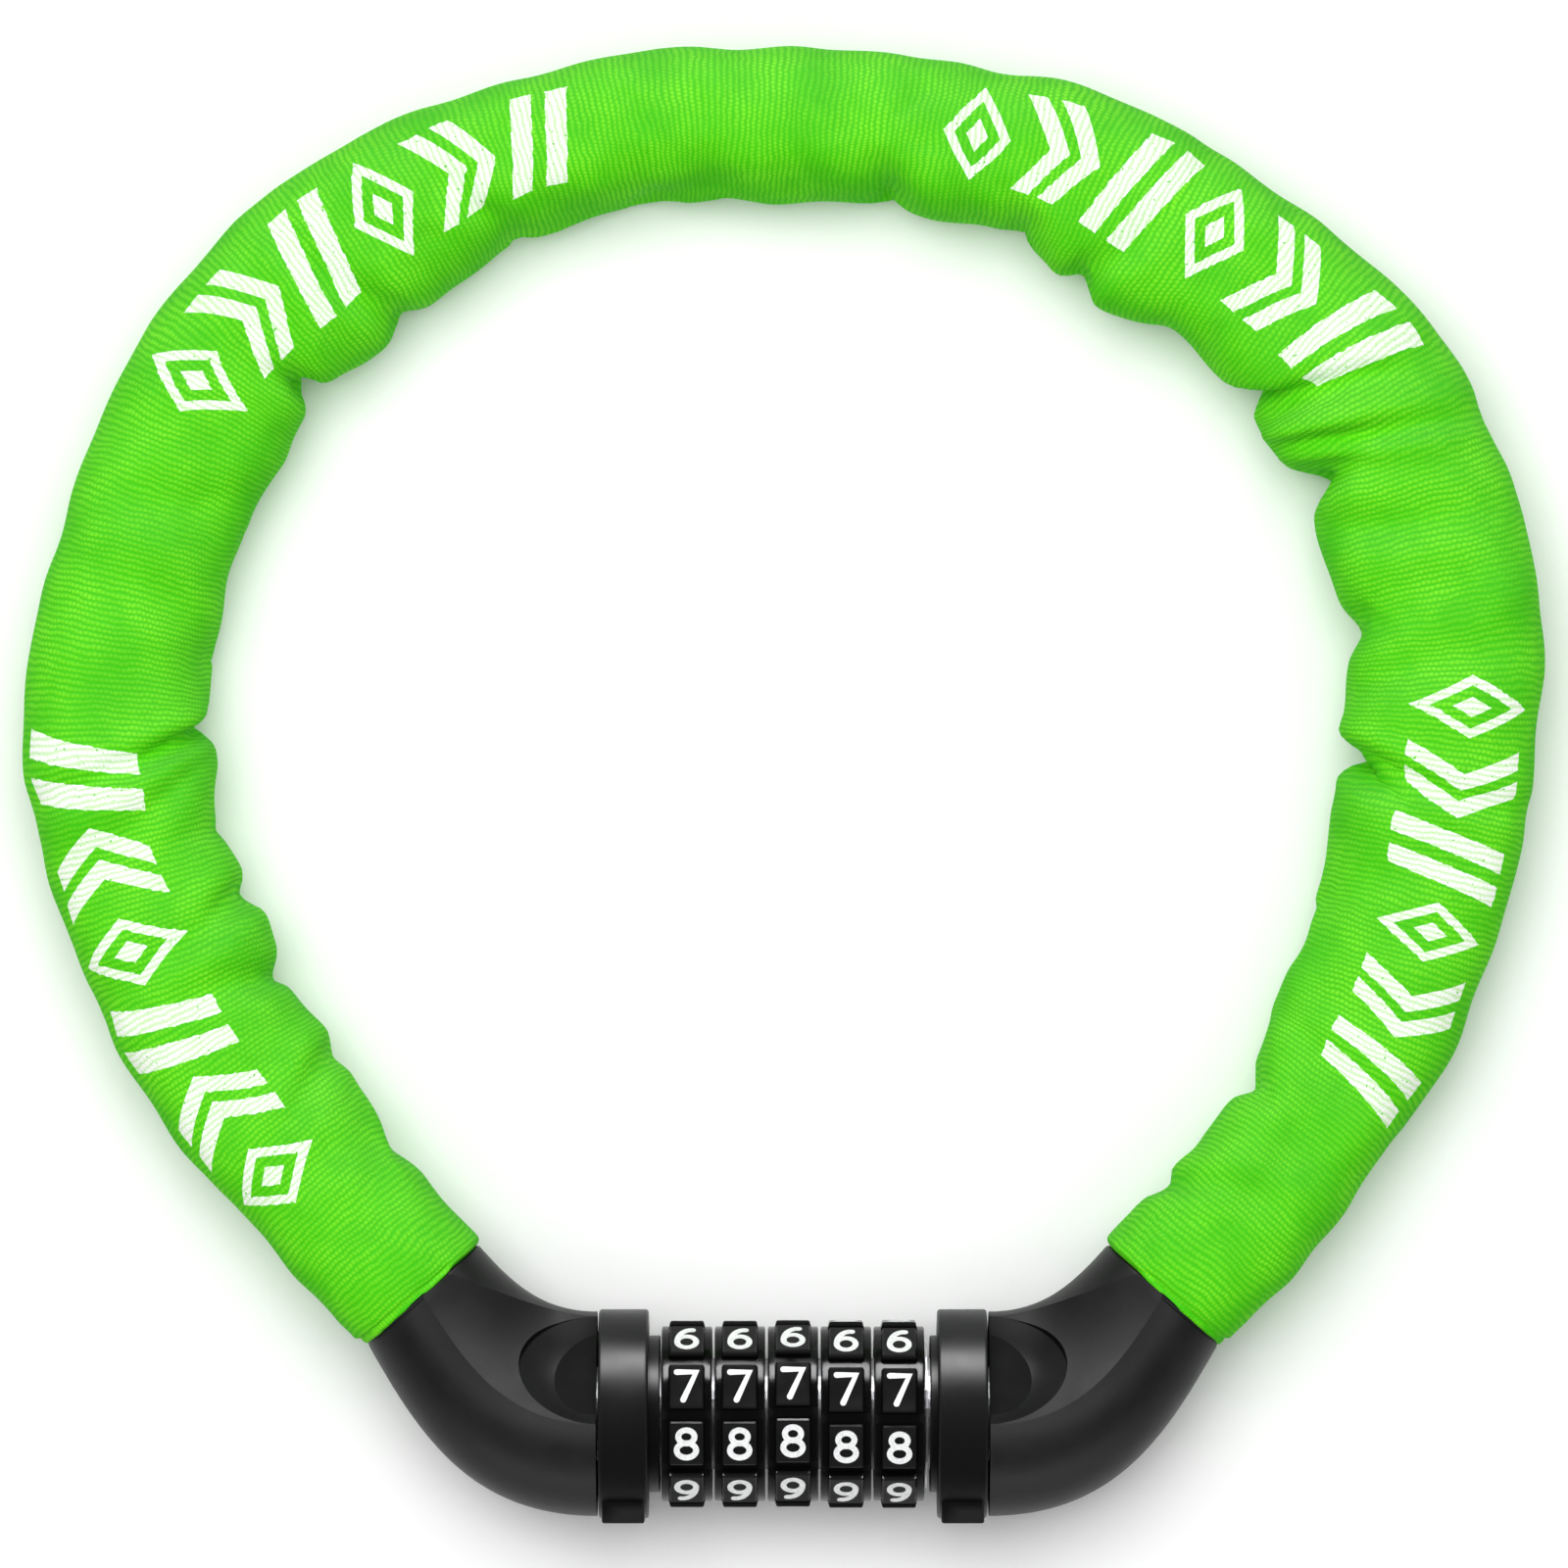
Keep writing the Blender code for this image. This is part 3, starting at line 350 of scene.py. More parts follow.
class Finish:
    """A Principled material and what its procedural patterns are built from."""

    def __init__(self, name, colour, roughness, metallic=0.0, specular=0.5):
        self.material = bpy.data.materials.new(name)
        self.material.use_nodes = True
        self.tree = self.material.node_tree
        self.surface = self.tree.nodes["Principled BSDF"]
        self.surface.inputs["Base Color"].default_value = (*colour, 1)
        self.surface.inputs["Roughness"].default_value = roughness
        self.surface.inputs["Metallic"].default_value = metallic
        self.surface.inputs["Specular IOR Level"].default_value = specular
        self.material.diffuse_color = (*colour, 1)

    def set(self, name, value):
        feed(self.tree, self.surface.inputs[name], value)

    def place(self, stretch=(1, 1, 1)):
        """The point on the piece at rest, in millimetres, squeezed along each axis."""
        source = self.tree.nodes.new("ShaderNodeTexCoord")
        mapping = self.tree.nodes.new("ShaderNodeMapping")
        mapping.inputs["Scale"].default_value = [s / MM for s in stretch]
        self.tree.links.new(source.outputs["Object"], mapping.inputs["Vector"])
        return mapping.outputs["Vector"]

    def noise(self, size, detail=2.0, stretch=(1, 1, 1), rough=0.5):
        """Noise from 0 to 1 whose blobs are about size millimetres across."""
        node = self.tree.nodes.new("ShaderNodeTexNoise")
        self.tree.links.new(self.place(stretch), node.inputs["Vector"])
        node.inputs["Scale"].default_value = 1 / size
        node.inputs["Detail"].default_value = detail
        node.inputs["Roughness"].default_value = rough
        return Field(self.tree, node.outputs["Fac"])

    def edges(self, low=0.51, high=0.56):
        """1 along sharp outer edges, where the base colour is lightened as a painted highlight."""
        node = self.tree.nodes.new("ShaderNodeNewGeometry")
        return Field(self.tree, node.outputs["Pointiness"]).ramp(low, high)

    def mix(self, share, first, second):
        """A colour between two, each a colour or a Field's socket."""
        node = self.tree.nodes.new("ShaderNodeMix")
        node.data_type = "RGBA"
        feed(self.tree, node.inputs["Factor"], share)
        for name, value in (("A", first), ("B", second)):
            slot = next(s for s in node.inputs if s.name == name and s.type == "RGBA")
            feed(self.tree, slot, value if isinstance(value, Field) else (*value, 1))
        return Field(self.tree, next(s for s in node.outputs if s.type == "RGBA"))

    def bump(self, height, depth, strength=1.0):
        """Raises the surface by the height field times depth millimetres."""
        node = self.tree.nodes.new("ShaderNodeBump")
        node.inputs["Distance"].default_value = depth * MM
        node.inputs["Strength"].default_value = strength
        self.tree.links.new(height.socket, node.inputs["Height"])
        self.tree.links.new(node.outputs["Normal"], self.surface.inputs["Normal"])


def black_plastic():
    finish = Finish("black_plastic", (0.01, 0.01, 0.011), 0.5, specular=0.16)
    mottle, grain = finish.noise(5.0, 3), finish.noise(0.22, 1)
    dark, pale = (0.0045, 0.0045, 0.0048), (0.0065, 0.0065, 0.0068)
    finish.set("Base Color", finish.mix(mottle.ramp(0.3, 0.7), dark, pale))
    finish.set("Roughness", mottle.ramp(0.2, 0.8) * 0.1 + 0.4)
    finish.bump(grain, 0.02, 0.5)
    return finish.material


def satin_black():
    finish = Finish("satin_black", (0.01, 0.01, 0.011), 0.32, specular=0.13)
    lines = finish.noise(0.18, 2, (1, 0.05, 0.05))
    smudge = finish.noise(7.0, 2)
    finish.set("Roughness", smudge.ramp(0.3, 0.7) * 0.08 + lines * 0.08 + 0.29)
    # base colour lighter along sharp edges: a painted highlight
    finish.set("Base Color", finish.mix(finish.edges() * 0.35, (0.003, 0.003, 0.0035), (0.035, 0.035, 0.036)))
    finish.bump(lines, 0.01, 0.4)
    return finish.material


def gloss_black():
    finish = Finish("gloss_black", (0.004, 0.004, 0.0045), 0.15, specular=0.1)
    smudge, scratches = finish.noise(3.0, 3), finish.noise(0.35, 2, (0.15, 1, 1))
    finish.set("Roughness", smudge.ramp(0.35, 0.75) * 0.12 + 0.12)
    # base colour lighter along sharp edges: a painted highlight
    finish.set("Base Color", finish.mix(finish.edges() * 0.3, (0.002, 0.002, 0.0022), (0.03, 0.03, 0.031)))
    finish.bump(scratches, 0.006, 0.3)
    return finish.material


def number_paint():
    finish = Finish("number_paint", (0.85, 0.86, 0.86), 0.45)
    wear = finish.noise(0.5, 3)
    finish.set("Base Color", finish.mix(wear.ramp(0.25, 0.6), (0.7, 0.71, 0.72), (0.9, 0.91, 0.91)))
    finish.bump(wear, 0.02, 0.4)
    return finish.material


def green_fabric(top, groups):
    """Ribbed webbing with a printed row of slashes, chevrons and diamonds.

    The weave's own lengths give the place: top is the way round to the middle of the top, and each
    group is (start, end, offset), the ways along between which the print runs and how far it is
    moved outwards.
    """
    finish = Finish("green_fabric", FABRIC_RIDGE, 0.85, specular=0.1)
    source = finish.tree.nodes.new("ShaderNodeUVMap")
    source.uv_map = "Weave"
    split = finish.tree.nodes.new("ShaderNodeSeparateXYZ")
    finish.tree.links.new(source.outputs["UV"], split.inputs["Vector"])
    around = Field(finish.tree, split.outputs["X"]) / MM
    along = Field(finish.tree, split.outputs["Y"]) / MM
    wander = finish.noise(8.0, 2) * 1.8 + finish.noise(1.3, 1) * 0.4
    row = (along + wander) / RIB_PITCH
    ribs = (row * tau - pi / 2).math("SINE") * 0.5 + 0.5
    threads = (around * (tau / THREAD_PITCH) + wander * 3.0 + row.math("FLOOR") * pi).math("SINE") * 0.5 + 0.5
    cloud, fibre = finish.noise(10.0, 3), finish.noise(0.3, 2)
    dots = (threads * ribs).math("SQRT")
    worn = finish.noise(6.0, 2).ramp(0.35, 0.65)
    shade = dots * (worn * 0.3 + 0.12) + ribs * 0.25 + fibre * 0.33
    green = finish.mix(shade.ramp(0.2, 0.8), FABRIC_GROOVE, FABRIC_RIDGE)
    green = finish.mix(cloud.ramp(0.42, 0.68) * 0.45, green, FABRIC_DEEP)
    white = finish.mix(shade.ramp(0.1, 0.5), PRINT_GROOVE, PRINT_WHITE)
    printed = print_mask(finish, around, along, top, groups)
    finish.set("Base Color", finish.mix(printed, green, white))
    finish.set("Roughness", fibre * 0.1 + 0.78)
    finish.bump(ribs * 0.4 + dots * 0.4 + fibre * 0.2, 0.12, 0.8)
    return finish.material


def print_mask(finish, around, along, top, groups):
    """1 where the print is: in each group a row of cells, each with one of three shapes."""
    ragged = finish.noise(0.8, 2) * 1.1 - 0.55
    inside = local = offset = None
    for start, end, moved in groups:
        here = along.above(start) * along.below(end)
        place = here * ((along - start) * (PRINT_CELLS / (end - start)))
        inside = here if inside is None else inside + here
        local = place if local is None else local + place
        offset = here * moved if offset is None else offset + here * moved
    kind = local.math("FLOOR").math("MODULO", 3.0)
    across = (local.math("FRACT") - 0.5) * PRINT_PITCH + ragged * 0.4
    rise = around - top - offset + ragged * 0.4
    lean, apart, half = SLASHES
    slashes = (abs(abs(rise * lean + across) - apart)).below(half) * abs(rise).below(PRINT_HEIGHT / 2)
    bend, apart, half = CHEVRONS
    bent = across - abs(rise) * bend + CHEVRON_SHIFT
    chevrons = (abs(abs(bent) - apart)).below(half) * abs(rise).below(PRINT_HEIGHT / 2 - 0.3)
    radius = abs(across) / DIAMOND_HALF_WIDTH + abs(rise) / (PRINT_HEIGHT / 2)
    ring = (abs(radius - DIAMOND_RING[0])).below(DIAMOND_RING[1])
    diamond = ring.math("MAXIMUM", radius.below(DIAMOND_CORE))
    shape = slashes * abs(kind).below(0.5) + chevrons * abs(kind - 1).below(0.5)
    shape = shape + diamond * abs(kind - 2).below(0.5)
    specks = finish.noise(0.55, 1).below(0.73)
    return shape * inside * specks


def metal(name, colour, roughness, stretch=(1, 1, 1), size=0.4):
    finish = Finish(name, colour, roughness, 1.0)
    lines, cloud = finish.noise(size, 3, stretch), finish.noise(4.0, 2)
    dull = tuple(c * 0.72 for c in colour)
    finish.set("Base Color", finish.mix(cloud.ramp(0.35, 0.75), colour, dull))
    finish.set("Roughness", lines * 0.18 + (roughness - 0.06))
    finish.bump(lines, 0.02, 0.3)
    return finish.material


def dress_cad_nodes():
    """Gives every CAD node that still shows the finish of its material slot."""
    finishes = {
        "brass": metal("brass", (0.62, 0.44, 0.17), 0.32, (1, 0.1, 0.1)),
        "bolt_steel": BOLT_STEEL,
        "spring_steel": metal("spring_steel", (0.42, 0.42, 0.44), 0.3, (1, 0.1, 0.1)),
        "chain_steel": metal("chain_steel", (0.48, 0.49, 0.52), 0.38),
        "cast_zinc": metal("cast_zinc", (0.5, 0.5, 0.52), 0.45, size=0.8),
        "black_plastic": BLACK_PLASTIC, "satin_black": SATIN_BLACK, "gloss_black": GLOSS_BLACK,
    }
    for part in frame["record"]["subparts"]:
        obj = frame["nodes"][part["node"]]
        if part["material_slot"] in finishes:
            obj.data.materials.clear()
            obj.data.materials.append(finishes[part["material_slot"]])


# ---------------------------------------------------------------- camera, floor and light


def camera():
    data = bpy.data.cameras.new("camera")
    data.sensor_width = SENSOR_WIDTH
    data.lens = SENSOR_WIDTH * CAMERA_DISTANCE / VIEW_WIDTH
    data.clip_end = 100
    obj = placed("camera", data)
    obj.location = Vector((LOOP_MIDDLE.x, LOOP_MIDDLE.y, VIEW_HEIGHT_Z + CAMERA_DISTANCE)) * MM
    bpy.context.scene.camera = obj


def area_light(name, at, size, power, diffuse=True, glossy=True):
    """A soft box that faces the middle of the floor."""
    data = bpy.data.lights.new(name, "AREA")
    data.shape, data.size, data.size_y = "RECTANGLE", size[0] * MM, size[1] * MM
    data.energy = power
    obj = placed(name, data)
    obj.location = Vector(at) * MM
    obj.rotation_euler = (Vector() - Vector(at)).to_track_quat("-Z", "Y").to_euler()
    obj.visible_diffuse, obj.visible_glossy = diffuse, glossy
    return obj


def limited(light, objects, state):
    """Lets a light fall on these objects only ("INCLUDE"), or on all but them ("EXCLUDE")."""
    group = bpy.data.collections.new(f"{light.name}_lights")
    light.light_linking.receiver_collection = group
    for obj in objects:
        group.objects.link(obj)
    for member in group.collection_objects:
        member.light_linking.link_state = state


def reflectors(elbows):
    """Soft boxes that show only as reflections: a strip for the barrel, and others for the elbows."""
    strip = area_light("strip", (0, 1230, 720), (1200, 560), STRIP_LIGHT, diffuse=False)
    limited(strip, elbows, "EXCLUDE")
    sheen = area_light("sheen", (0, -340, 1500), (2500, 400), SHEEN_LIGHT, diffuse=False)
    limited(sheen, elbows, "INCLUDE")
    rim = area_light("rim", (0, -1500, 330), (3600, 330), RIM_LIGHT, diffuse=False)
    limited(rim, elbows, "INCLUDE")
    for side, shell in zip((1, -1), elbows):
        name = "facet_right" if side > 0 else "facet_left"
        facet = area_light(name, (-330 * side, 1120, 820), (600, 400), FACET_LIGHT, diffuse=False)
        limited(facet, [shell], "INCLUDE")


def studio():
    bm = bmesh.new()
    bmesh.ops.create_grid(bm, x_segments=1, y_segments=1, size=FLOOR_WIDTH / 2)
    floor = Finish("floor", (0.95, 0.95, 0.95), 0.9, specular=0.1)
    floor.set("Base Color", floor.mix(floor.noise(40.0, 2), (0.94, 0.94, 0.94), (0.955, 0.955, 0.955)))
    piece("floor", bm, floor.material)
    world = bpy.data.worlds.new("studio")
    world.use_nodes = True
    world.node_tree.nodes["Background"].inputs["Color"].default_value = (1, 1, 1, 1)
    world.node_tree.nodes["Background"].inputs["Strength"].default_value = WORLD_LIGHT
    bpy.context.scene.world = world
    bpy.context.scene.view_settings.view_transform = "Standard"
    area_light("overhead", (-150, 350, 1300), (1100, 900), OVERHEAD_LIGHT, glossy=False)
    area_light("fill", (0, 0, 2600), (4200, 4200), FILL_LIGHT, glossy=False)


# ---------------------------------------------------------------- barrel


def collar(name, side, body):
    radius, edge = COLLAR_RADIUS, COLLAR_EDGE
    if side > 0:
        inside = [(NECK_X + 0.6, COLLAR_BORE_RADIUS), (COLLAR_OUTER_X, COLLAR_BORE_RADIUS)]
    else:
        wall = RECESS_X + RECESS_WALL
        inside = [
            (NECK_X, RECESS_RADIUS), (RECESS_X, RECESS_RADIUS), (RECESS_X, BOLT_BORE_RADIUS),
            (wall, BOLT_BORE_RADIUS), (wall, COLLAR_BORE_RADIUS), (COLLAR_OUTER_X, COLLAR_BORE_RADIUS),
        ]
    section = rounded(
        [*inside, (COLLAR_OUTER_X, radius, 1), (COLLAR_INNER_X, radius, 1),
         (COLLAR_INNER_X, NECK_RADIUS), (inside[0][0], NECK_RADIUS, 0.5)],
        edge,
    )
    shell = skinned(turned([(side * x, r) for x, r in section]))
    near, far = sorted((side * (COLLAR_INNER_X + FOOT_MARGIN), side * (COLLAR_OUTER_X - FOOT_MARGIN)))
    foot = box(
        BARREL + Vector((near, -FOOT_FRONT, -FOOT_HALF_HEIGHT)),
        BARREL + Vector((far, -COLLAR_BORE_RADIUS - 1, FOOT_HALF_HEIGHT)), 0.35,
    )
    shell = combine(shell, foot, "UNION")
    piece(name, shell, SATIN_BLACK, body, name.replace("_shape", ""), 40)


def dial_x(number):
    """How far a dial's middle is along the barrel from its centre."""
    return (number - (DIAL_COUNT - 1) / 2) * DIAL_PITCH


def dial_angles():
    """(angle, share of the pad's height) round a dial, in degrees from its first pad's middle."""
    steps = ((-16.4, 0), (-PAD_FOOT_ANGLE, 0), (-PAD_FOOT_ANGLE + 0.35, 0.45), (-PAD_HALF_ANGLE - 0.35, 0.85),
             (-PAD_HALF_ANGLE + 0.7, 1), (-9, 1), (-4.5, 1))
    one = [*steps, (0, 1), *((-a, share) for a, share in reversed(steps))]
    return [(pad * 360 / DIGITS + a, a, share) for pad in range(DIGITS) for a, share in one]


def dial(number):
    """A dial with ten raised, flat pads between two rims, and the numbers on the pads."""
    half, pad, up = DIAL_WIDTH / 2, PAD_WIDTH / 2, DIAL_PAD_RADIUS - DIAL_RIM_RADIUS
    edge = 0.22
    stations = [
        (-half, DIAL_RIM_RADIUS - edge, 0), (-half + edge / 3, DIAL_RIM_RADIUS - edge / 3, 0),
        (-half + edge, DIAL_RIM_RADIUS, 0), (-pad - 0.05, DIAL_RIM_RADIUS, 0),
        (-pad + 0.06, DIAL_RIM_RADIUS, 0.5), (-pad + 0.16, DIAL_RIM_RADIUS, 0.86),
        (-pad + PAD_ROUNDING, DIAL_RIM_RADIUS, 1),
    ]
    stations += [(-x, r, share) for x, r, share in reversed(stations)]
    stations += [(half, DIAL_BORE_RADIUS, 0), (-half, DIAL_BORE_RADIUS, 0)]
    flat = DIAL_PAD_RADIUS * cos(radians(PAD_HALF_ANGLE))
    centre = BARREL + Vector((dial_x(number), 0, 0))
    turn = FIRST_PAD_ANGLE + DIAL_PLAY[number]
    rings = []
    for x, radius, share in stations:
        ring = []
        for angle, offset, along in dial_angles():
            top = min(flat / cos(radians(offset)), DIAL_PAD_RADIUS)
            r = radius + (top - radius) * share * along if share else radius
            a = radians(turn + angle)
            ring.append(centre + Vector((x, r * sin(a), r * cos(a))))
        rings.append(ring)
    body = f"dial_{number + 1}"
    piece(f"{body}_shape", skinned(rings), GLOSS_BLACK, body, f"number_dial_{number + 1}", 28)
    numbers, strokes = bmesh.new(), number_strokes()
    for place in range(DIGITS):
        a = radians(turn + place * 360 / DIGITS)
        out, up_pad = Vector((0, sin(a), cos(a))), Vector((0, cos(a), -sin(a)))
        axes = Matrix((Vector((1, 0, 0)), up_pad, out)).transposed().to_4x4()
        where = Matrix.Translation(centre + out * flat) @ axes
        for layer, stroke in enumerate(strokes[(FIRST_DIGIT - place) % DIGITS]):
            add_stroke(numbers, stroke, where, NUMBER_PAINT_DEPTH * (1 + 0.3 * layer))
    piece(f"{body}_numbers", numbers, NUMBER_PAINT, body, None, 40)


def arc(x, y, across, up, start, end):
    """Points along part of an oval, from one angle in degrees to another."""
    count = max(4, round(abs(end - start) / 15))
    angles = [radians(ease((start, end), k / count)) for k in range(count + 1)]
    return [(x + across * cos(a), y + up * sin(a)) for a in angles]


def number_strokes():
    """For each digit the middle lines of its strokes, in millimetres from the digit's middle."""
    six = [arc(0, -0.75, 1.38, 1.34, 0, 360), arc(0.6, -0.75, 1.98, 2.84, 180, 82)]
    return (
        [arc(0, 0, 1.36, 2.09, 0, 360)],
        [[(-0.8, 1.4), (0.3, 2.09), (0.3, -2.09)]],
        [[*arc(0, 0.82, 1.3, 1.27, 165, -38), (-1.35, -2.09), (1.4, -2.09)]],
        [[*arc(-0.05, 1.06, 1.2, 1.03, 150, -85), (0.1, 0.03)], arc(-0.05, -0.98, 1.38, 1.11, 85, -150)],
        [[(0.6, 2.09), (-1.45, -0.85), (1.5, -0.85)], [(0.65, 0.4), (0.65, -2.09)]],
        [[(1.2, 2.09), (-0.95, 2.09), (-1.15, 0.2), *arc(-0.05, -0.68, 1.4, 1.41, 130, -150)]],
        six,
        [[(-1.4, 2.09), (1.4, 2.09), (-0.45, -2.09)]],
        [arc(0, 1.08, 1.17, 1.01, 0, 360), arc(0, -0.98, 1.41, 1.11, 0, 360)],
        [[(-x, -y) for x, y in stroke] for stroke in six],
    )


def add_stroke(bm, line, where, depth):
    """Adds a flat line of paint with round ends, raised a little, along the points."""
    points = [Vector(point) for point in line]
    closed = (points[0] - points[-1]).length < 1e-4
    if closed:
        points.pop()
    half, count = NUMBER_STROKE / 2, len(points)
    left, right = [], []
    for i, point in enumerate(points):
        before = points[i - 1] if i or closed else None
        after = points[(i + 1) % count] if i + 1 < count or closed else None
        ways = [(b - a).normalized() for a, b in ((before, point), (point, after)) if a and b]
        way = sum(ways, Vector((0, 0))).normalized()
        out = Vector((-way.y, way.x)) * half * min(1 / max(way.dot(ways[0]), 0.1), NUMBER_STROKE_MITRE)
        left.append(point + out)
        right.append(point - out)
    outlines = []
    if closed:
        outlines = [(left[i - 1], right[i - 1], right[i], left[i]) for i in range(count)]
    else:
        for end, inner, way in ((0, 1, 1), (-1, -2, -1)):
            towards = (points[end] - points[inner]).normalized()
            aside = Vector((-towards.y, towards.x))
            turns = [pi * k / 8 for k in range(9)]
            outlines.append([points[end] + (aside * cos(a) + towards * sin(a)) * half for a in turns])
        outlines += [(left[i], right[i], right[i + 1], left[i + 1]) for i in range(count - 1)]
    for outline in outlines:
        low, high = ([bm.verts.new(where @ Vector((*p, z))) for p in outline] for z in (0, depth))
        bm.faces.new(high)
        for k in range(len(low)):
            bm.faces.new((low[k - 1], low[k], high[k], high[k - 1]))
        bm.faces.new(low[::-1])


def bolt():
    """The bolt with its chamfered tip, and a tooth for each dial."""
    chamfer = BOLT_CHAMFER
    section = (
        (BOLT_TAIL_X, 0.01), (BOLT_TAIL_X, BOLT_RADIUS), (BOLT_TIP_X - chamfer, BOLT_RADIUS),
        (BOLT_TIP_X - chamfer / 3, BOLT_RADIUS - chamfer / 3), (BOLT_TIP_X, BOLT_RADIUS - chamfer),
        (BOLT_TIP_X, 0.01),
    )
    made = skinned(turned(section, 64), capped=True)
    half = TOOTH_WIDTH / 2
    for number in range(DIAL_COUNT):
        x = dial_x(number)
        tooth = box(
            BARREL + Vector((x + TOOTH_START, -TOOTH_REACH, -half)),
            BARREL + Vector((x + TOOTH_END, 1.0, half)), 0.25,
        )
        made = combine(made, tooth, "UNION")
    piece("lock_bolt_shape", made, BOLT_STEEL, "bolt_half", "lock_bolt", 35)


# ---------------------------------------------------------------- elbows


def bezier(points, t):
    weights = ((1 - t) ** 3, 3 * t * (1 - t) ** 2, 3 * t**2 * (1 - t), t**3)
    return sum((Vector(p) * w for p, w in zip(points, weights)), Vector((0, 0)))


def elbow_section(t):
    """The middle, radius and direction towards the loop of the right elbow's section."""
    outer, inner = bezier(ELBOW_OUTER_EDGE, t), bezier(ELBOW_INNER_EDGE, t)
    middle, across = (outer + inner) / 2, (inner - outer).normalized()
    return Vector((*middle, 0)), (inner - outer).length / 2, Vector((*across, 0))


def facet_angles(t):
    narrowing = max(0.0, (t - FACET_TAPER_FROM) / (1 - FACET_TAPER_FROM)) ** FACET_TAPER
    return radians(ease(FACET_START_ANGLE, t)), radians(ease(FACET_END_ANGLE, narrowing))


def elbow(name, side, body, stations=40, facet_points=10, round_points=64):
    """The elbow's shell with its facet, the lip at its mouth and the thumb recess by the collar."""
    count = facet_points + round_points

    def ring(t, inset=0.0, ahead=0.0, bore=None):
        middle, radius, across = elbow_section(t)
        start, end = facet_angles(t)
        forward = Vector((across.y, -across.x, 0))
        centre = BARREL + middle + forward * ahead
        up = Vector((0, 0, 1))

        def at(a, r):
            return centre + (across * sin(a) + up * cos(a)) * r

        if bore is not None:
            points = [at(start + tau * i / count, bore) for i in range(count)]
        else:
            first, last = at(start, radius), at(end, radius)
            points = [first.lerp(last, i / facet_points) for i in range(facet_points)]
            points += [at(end + (start + tau - end) * i / round_points, radius) for i in range(round_points)]
            points = [p + (centre - p).normalized() * inset for p in points]
        return [BARREL + Vector((side * (p - BARREL).x, (p - BARREL).y, (p - BARREL).z)) for p in points]

    rings = [ring(k / stations) for k in range(stations)]
    for k in range(LIP_STEPS + 1):
        a = tau / 4 * k / LIP_STEPS
        rings.append(ring(1.0, inset=LIP_RADIUS * (1 - cos(a)), ahead=LIP_RADIUS * (sin(a) - 1)))
    bores = [ring(k / stations, bore=ease(ELBOW_BORE_RADIUS, k / stations)) for k in range(stations, -1, -4)]
    shell = skinned(rings + bores)
    shell = combine(shell, thumb_recess(side), "DIFFERENCE")
    return piece(name, shell, BLACK_PLASTIC, body, name.replace("_shape", ""), 11)


def thumb_recess(side, sides=56):
    """A scoop, half oval from above, whose floor rises towards the collar."""
    lean = radians(THUMB_LEAN)
    out, along = Vector((0, sin(lean), cos(lean))), Vector((0, cos(lean), -sin(lean)))
    start = BARREL + Vector((ELBOW_OUTER_EDGE[0][0] - 1, 0, 0))
    rings = []
    for share in (0.0, 0.15, 0.4, 0.7, 1.0):
        length = ease((THUMB_FLOOR_LENGTH, THUMB_LENGTH), share) + 1
        half_width = ease((THUMB_FLOOR_HALF_WIDTH, THUMB_HALF_WIDTH), share)
        ring = []
        for k in range(sides + 1):
            a = pi * k / sides
            x = length * sin(a)
            floor = ease((THUMB_FLOOR_SHALLOW, THUMB_FLOOR_DEEP), sin(a))
            height = ease((floor, THUMB_FACET), share**THUMB_FLARE)
            ring.append(start + Vector((x, 0, 0)) + along * half_width * cos(a) + out * height)
        rings.append(ring)
    rings.append([point + out * THUMB_CUT_HEIGHT for point in rings[-1]])
    mirror = Matrix.Translation(BARREL) @ Matrix.Diagonal((side, 1, 1, 1)) @ Matrix.Translation(-BARREL)
    return skinned([[mirror @ point for point in ring] for ring in rings], capped=True)


# ---------------------------------------------------------------- sleeve


def unit(vectors):
    return vectors / np.linalg.norm(vectors, axis=-1, keepdims=True)


def read_off(at, ways, columns):
    """Each column's value at some ways, straight between the ways it is known at."""
    return np.stack([np.interp(at, ways, column) for column in columns.T], 1)


def sleeve_route():
    """The sleeve's middle line from just inside the right mouth to just inside the left one.

    Returns its points, the length up to each, and where along it each pin is.
    """
    heading = Vector((cos(MOUTH_HEADING), sin(MOUTH_HEADING), 0))
    ahead = (0.0, PIN_DEPTH, PIN_DEPTH + 8)
    right = [PINS[1] + heading * d for d in ahead]
    mirrored = Vector((-heading.x, heading.y, 0))
    left = [PINS[LAST_PIN] + mirrored * d for d in reversed(ahead)]
    between = [PINS[k] for k in sorted(PINS) if 2 < k < LAST_PIN - 1]
    line = smooth_line([*right, *between, *left])
    lengths = np.concatenate([[0], np.cumsum(np.linalg.norm(np.diff(line, axis=0), axis=1))])
    at_pin = {k: lengths[np.argmin(np.linalg.norm(line - np.array(p), axis=1))] for k, p in PINS.items()}
    at_pin[OPEN_PIN] = (at_pin[OPEN_PIN - 1] + at_pin[OPEN_PIN + 1]) / 2
    return line, lengths, at_pin


def sized(way, total, bearing):
    """Reach inwards, reach outwards and half height of the sleeve at a way along it."""
    outside = np.minimum(way, total - way) - PIN_DEPTH
    ends, body = np.array(SLEEVE_END), np.array(SLEEVE_WIDTHS)
    away = np.clip((outside - ends[-1, 0]) / 12, 0, 1)[:, None]
    widths = read_off(bearing, body[:, 0], body[:, 1:])
    at_end = read_off(outside, ends[:, 0], ends[:, 1:])
    return at_end[:, :2] * (1 - away) + widths * away, np.minimum(at_end[:, 2], SLEEVE_HALF_HEIGHT)


